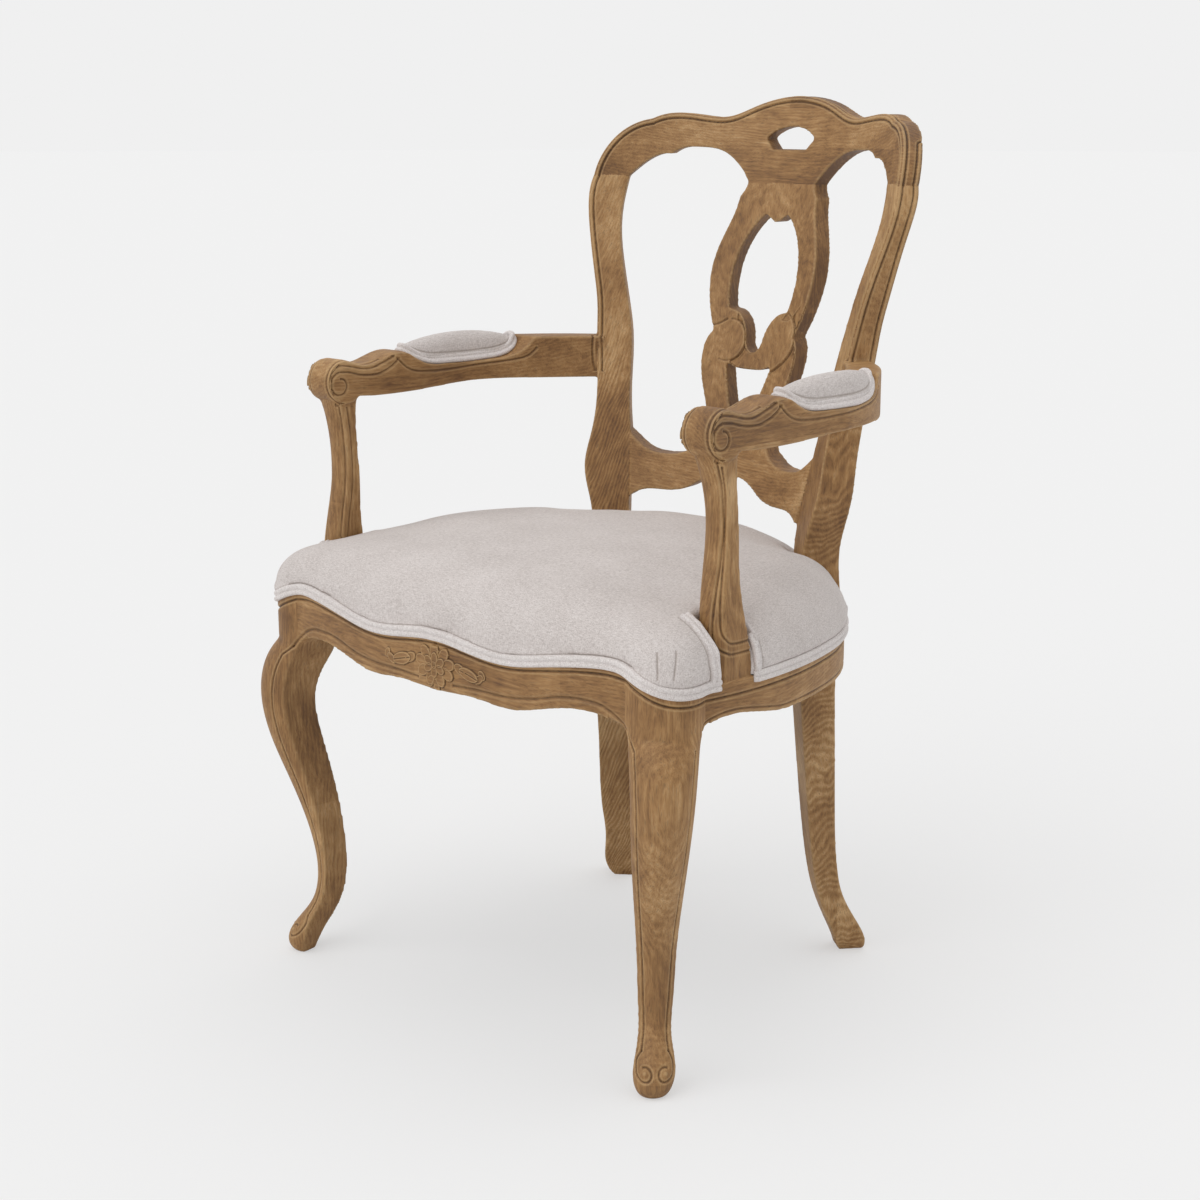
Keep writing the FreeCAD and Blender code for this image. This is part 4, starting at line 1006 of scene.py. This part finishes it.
def swept(name, line, outward, section, closed=False):
    """A strip along a line in mm. The section is drawn across the line and outwards from the surface."""
    ahead = heading(line, closed)
    sideways = unit(np.cross(ahead, outward))
    up = np.cross(sideways, ahead)
    points = np.concatenate([line + sideways * a + up * b for a, b in section])
    count, width = len(line), len(section)
    faces = []
    for k in range(width):
        for i in range(count if closed else count - 1):
            j, n = (i + 1) % count, (k + 1) % width
            faces.append((k * count + i, k * count + j, n * count + j, n * count + i))
    if not closed:
        faces.append([k * count for k in range(width)])
        faces.append([k * count + count - 1 for k in reversed(range(width))])
    mesh = bpy.data.meshes.new(name)
    mesh.from_pydata((points * MM).tolist(), [], faces)
    tidy = bmesh.new()
    tidy.from_mesh(mesh)
    bmesh.ops.recalc_face_normals(tidy, faces=tidy.faces)
    tidy.to_mesh(mesh)
    tidy.free()
    return linked(name, mesh)


for node, (middle_run, out) in welt_runs.items():
    strip = swept("linen_" + node, middle_run - out * 2.6, out, WELT)
    finished(strip, linen_welt, "linen_welt", node)
print("welts on the rails", len(welt_runs))

# %% [markdown]
# The welt turns up beside each arm post, in front of it and behind it, and lies on the cushion there.

# %% Welts beside the arm posts
cushion_tree = tree_of(cushion.data)


def on_cushion(line):
    """A line moved onto the cushion, with the outward directions there."""
    found = [cushion_tree.find_nearest(Vector(point) * MM) for point in line]
    return np.array([tuple(f[0] / MM) for f in found]), np.array([tuple(f[1]) for f in found])


post_front = [(318, -227, 434), (318, -227.5, 455), (314, -228, 474), (303, -228, 488), (288, -227, 496),
              (274, -226, 500)]
post_rear = [(316.5, -166, 432), (315.5, -166, 446), (312, -166.5, 459), (305, -167.5, 470)]
for name, rise in (("post_front", post_front), ("post_rear", post_rear)):
    for side in sides:
        turn = TURNS[side]
        shown = rise[:-1] if side == "left" and name == "post_front" else rise
        run, out = on_cushion(turn(stroke(shown, 2.0)))
        strip = swept("linen_welt_" + name + "_" + side, smooth_run(run, 4), smooth_run(out, 8), WELT)
        finished(strip, linen_welt, "linen_welt")
        beside = [0, 7.2 if name == "post_rear" else -7.2, 0]
        pressed(cushion, turn(stroke(rise, 1.0) + beside), 0.8, 1.2)
print("welts beside the posts", 4)

# %% [markdown]
# Round each arm pad the welt is a closed ring: an oval that follows the hollow of the arm and leans outwards.

# %% Welts round the arm pads
for side in sides:
    low, high = [np.array(corner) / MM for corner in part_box("arm_pad_" + side)]
    centre, half = (low + high) / 2, (high - low) / 2
    turns = np.linspace(0, 2 * math.pi, 181)[:-1] - math.pi / 2
    oval = [np.sign(wave) * np.abs(wave) ** 0.72 for wave in (np.cos(turns), np.sin(turns))]
    ring = np.stack([centre[0] + half[0] * oval[0], centre[1] + half[1] * oval[1], np.zeros(180)], 1)
    ring[:, 2] = arm_bed(side, ring[:, 1])
    ring[:, 0] += HANDS[side] * np.interp(ring[:, 1], *PAD_BEND)
    for _ in range(4):
        ring = 0.5 * ring + 0.25 * (np.roll(ring, 1, 0) + np.roll(ring, -1, 0))
    out = level_out(ring, closed=True)
    slope = out * 0.85 + [0, 0, 0.53]
    flatter = [(a * 0.95, b * 0.75) for a, b in WELT]
    strip = swept("linen_arm_pad_welt_" + side, ring - out * 2.8 + [0, 0, 5.6], slope, flatter, closed=True)
    finished(strip, linen_welt, "linen_welt", "arm_pad_welt_" + side)
    pressed(pads[side], stroke(ring - out * 5.0 + [0, 0, 12.2], 1.0), 0.7, 1.2)
    print(strip.name, ring.min(0).round(0), ring.max(0).round(0))

# %% [markdown]
# What the eye rarely sees: beech corner blocks and dowels, zinc-plated screws, jute webbing and hessian, and the
# black cloth that closes the seat from below. Their CAD shapes are right as they are, and get their materials.

# %% Hidden parts
def plain_wood(name, tones, spacing):
    """A straight-grained wood, planed and left bare: tones from dark to light, grain spacing in mm."""
    made, tree = blank(name)
    spot = add(tree, "TexCoord").outputs["Object"]
    stretch = (1000 / 40, 1000 / spacing, 1000 / spacing)
    spot = add(tree, "VectorMath", {0: spot, 1: stretch}, operation="MULTIPLY").outputs[0]
    fibre = add(tree, "TexNoise", {"Vector": spot, "Scale": 1.0, "Detail": 4.0}).outputs["Fac"]
    tone = add(tree, "ValToRGB", {"Fac": fibre}, stops=zip((0.3, 0.7), tones)).outputs["Color"]
    relief = add(tree, "Bump", {"Strength": 0.2, "Distance": 0.0003, "Height": fibre}).outputs[0]
    surface = add(tree, "BsdfPrincipled", {"Base Color": tone, "Roughness": 0.6, "Normal": relief, "IOR": 1.5})
    add(tree, "OutputMaterial", {"Surface": surface.outputs[0]})
    return made


beech = plain_wood("beech_planed", ("#B98F63", "#D3AF84"), 1.6)
jute = woven("jute_webbing", ("#7A6242", "#9C8259", "#B89D72"), 1.8, 14.0, 0.5)
dust_cloth = woven("dust_cloth_black", ("#191817", "#232221", "#2E2D2B"), 1.2, 5.0, 0.15)
zinc, tree = blank("zinc_plated_steel")
spot = add(tree, "TexCoord").outputs["Object"]
flecks = add(tree, "TexNoise", {"Vector": spot, "Scale": 900.0, "Detail": 2.0}).outputs["Fac"]
shade = add(tree, "ValToRGB", {"Fac": flecks}, stops=[(0.3, "#8C8E90"), (0.7, "#B4B6B8")]).outputs["Color"]
rough = add(tree, "MapRange", {"Value": flecks, 1: 0.3, 2: 0.7, 3: 0.28, 4: 0.45}).outputs[0]
metal = add(tree, "BsdfPrincipled", {"Base Color": shade, "Metallic": 1.0, "Roughness": rough})
add(tree, "OutputMaterial", {"Surface": metal.outputs[0]})
finishes = {"webbing": jute, "hessian": jute, "dust": dust_cloth, "screws": zinc, "dowels": beech,
            "corner_block": beech}
dressed = {}
for node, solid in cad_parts.items():
    finish = next((made for word, made in finishes.items() if word in node), None)
    if finish and not solid.hide_render:
        for material_slot in solid.material_slots:
            material_slot.material = finish
        dressed[node] = finish.name
print(dressed)
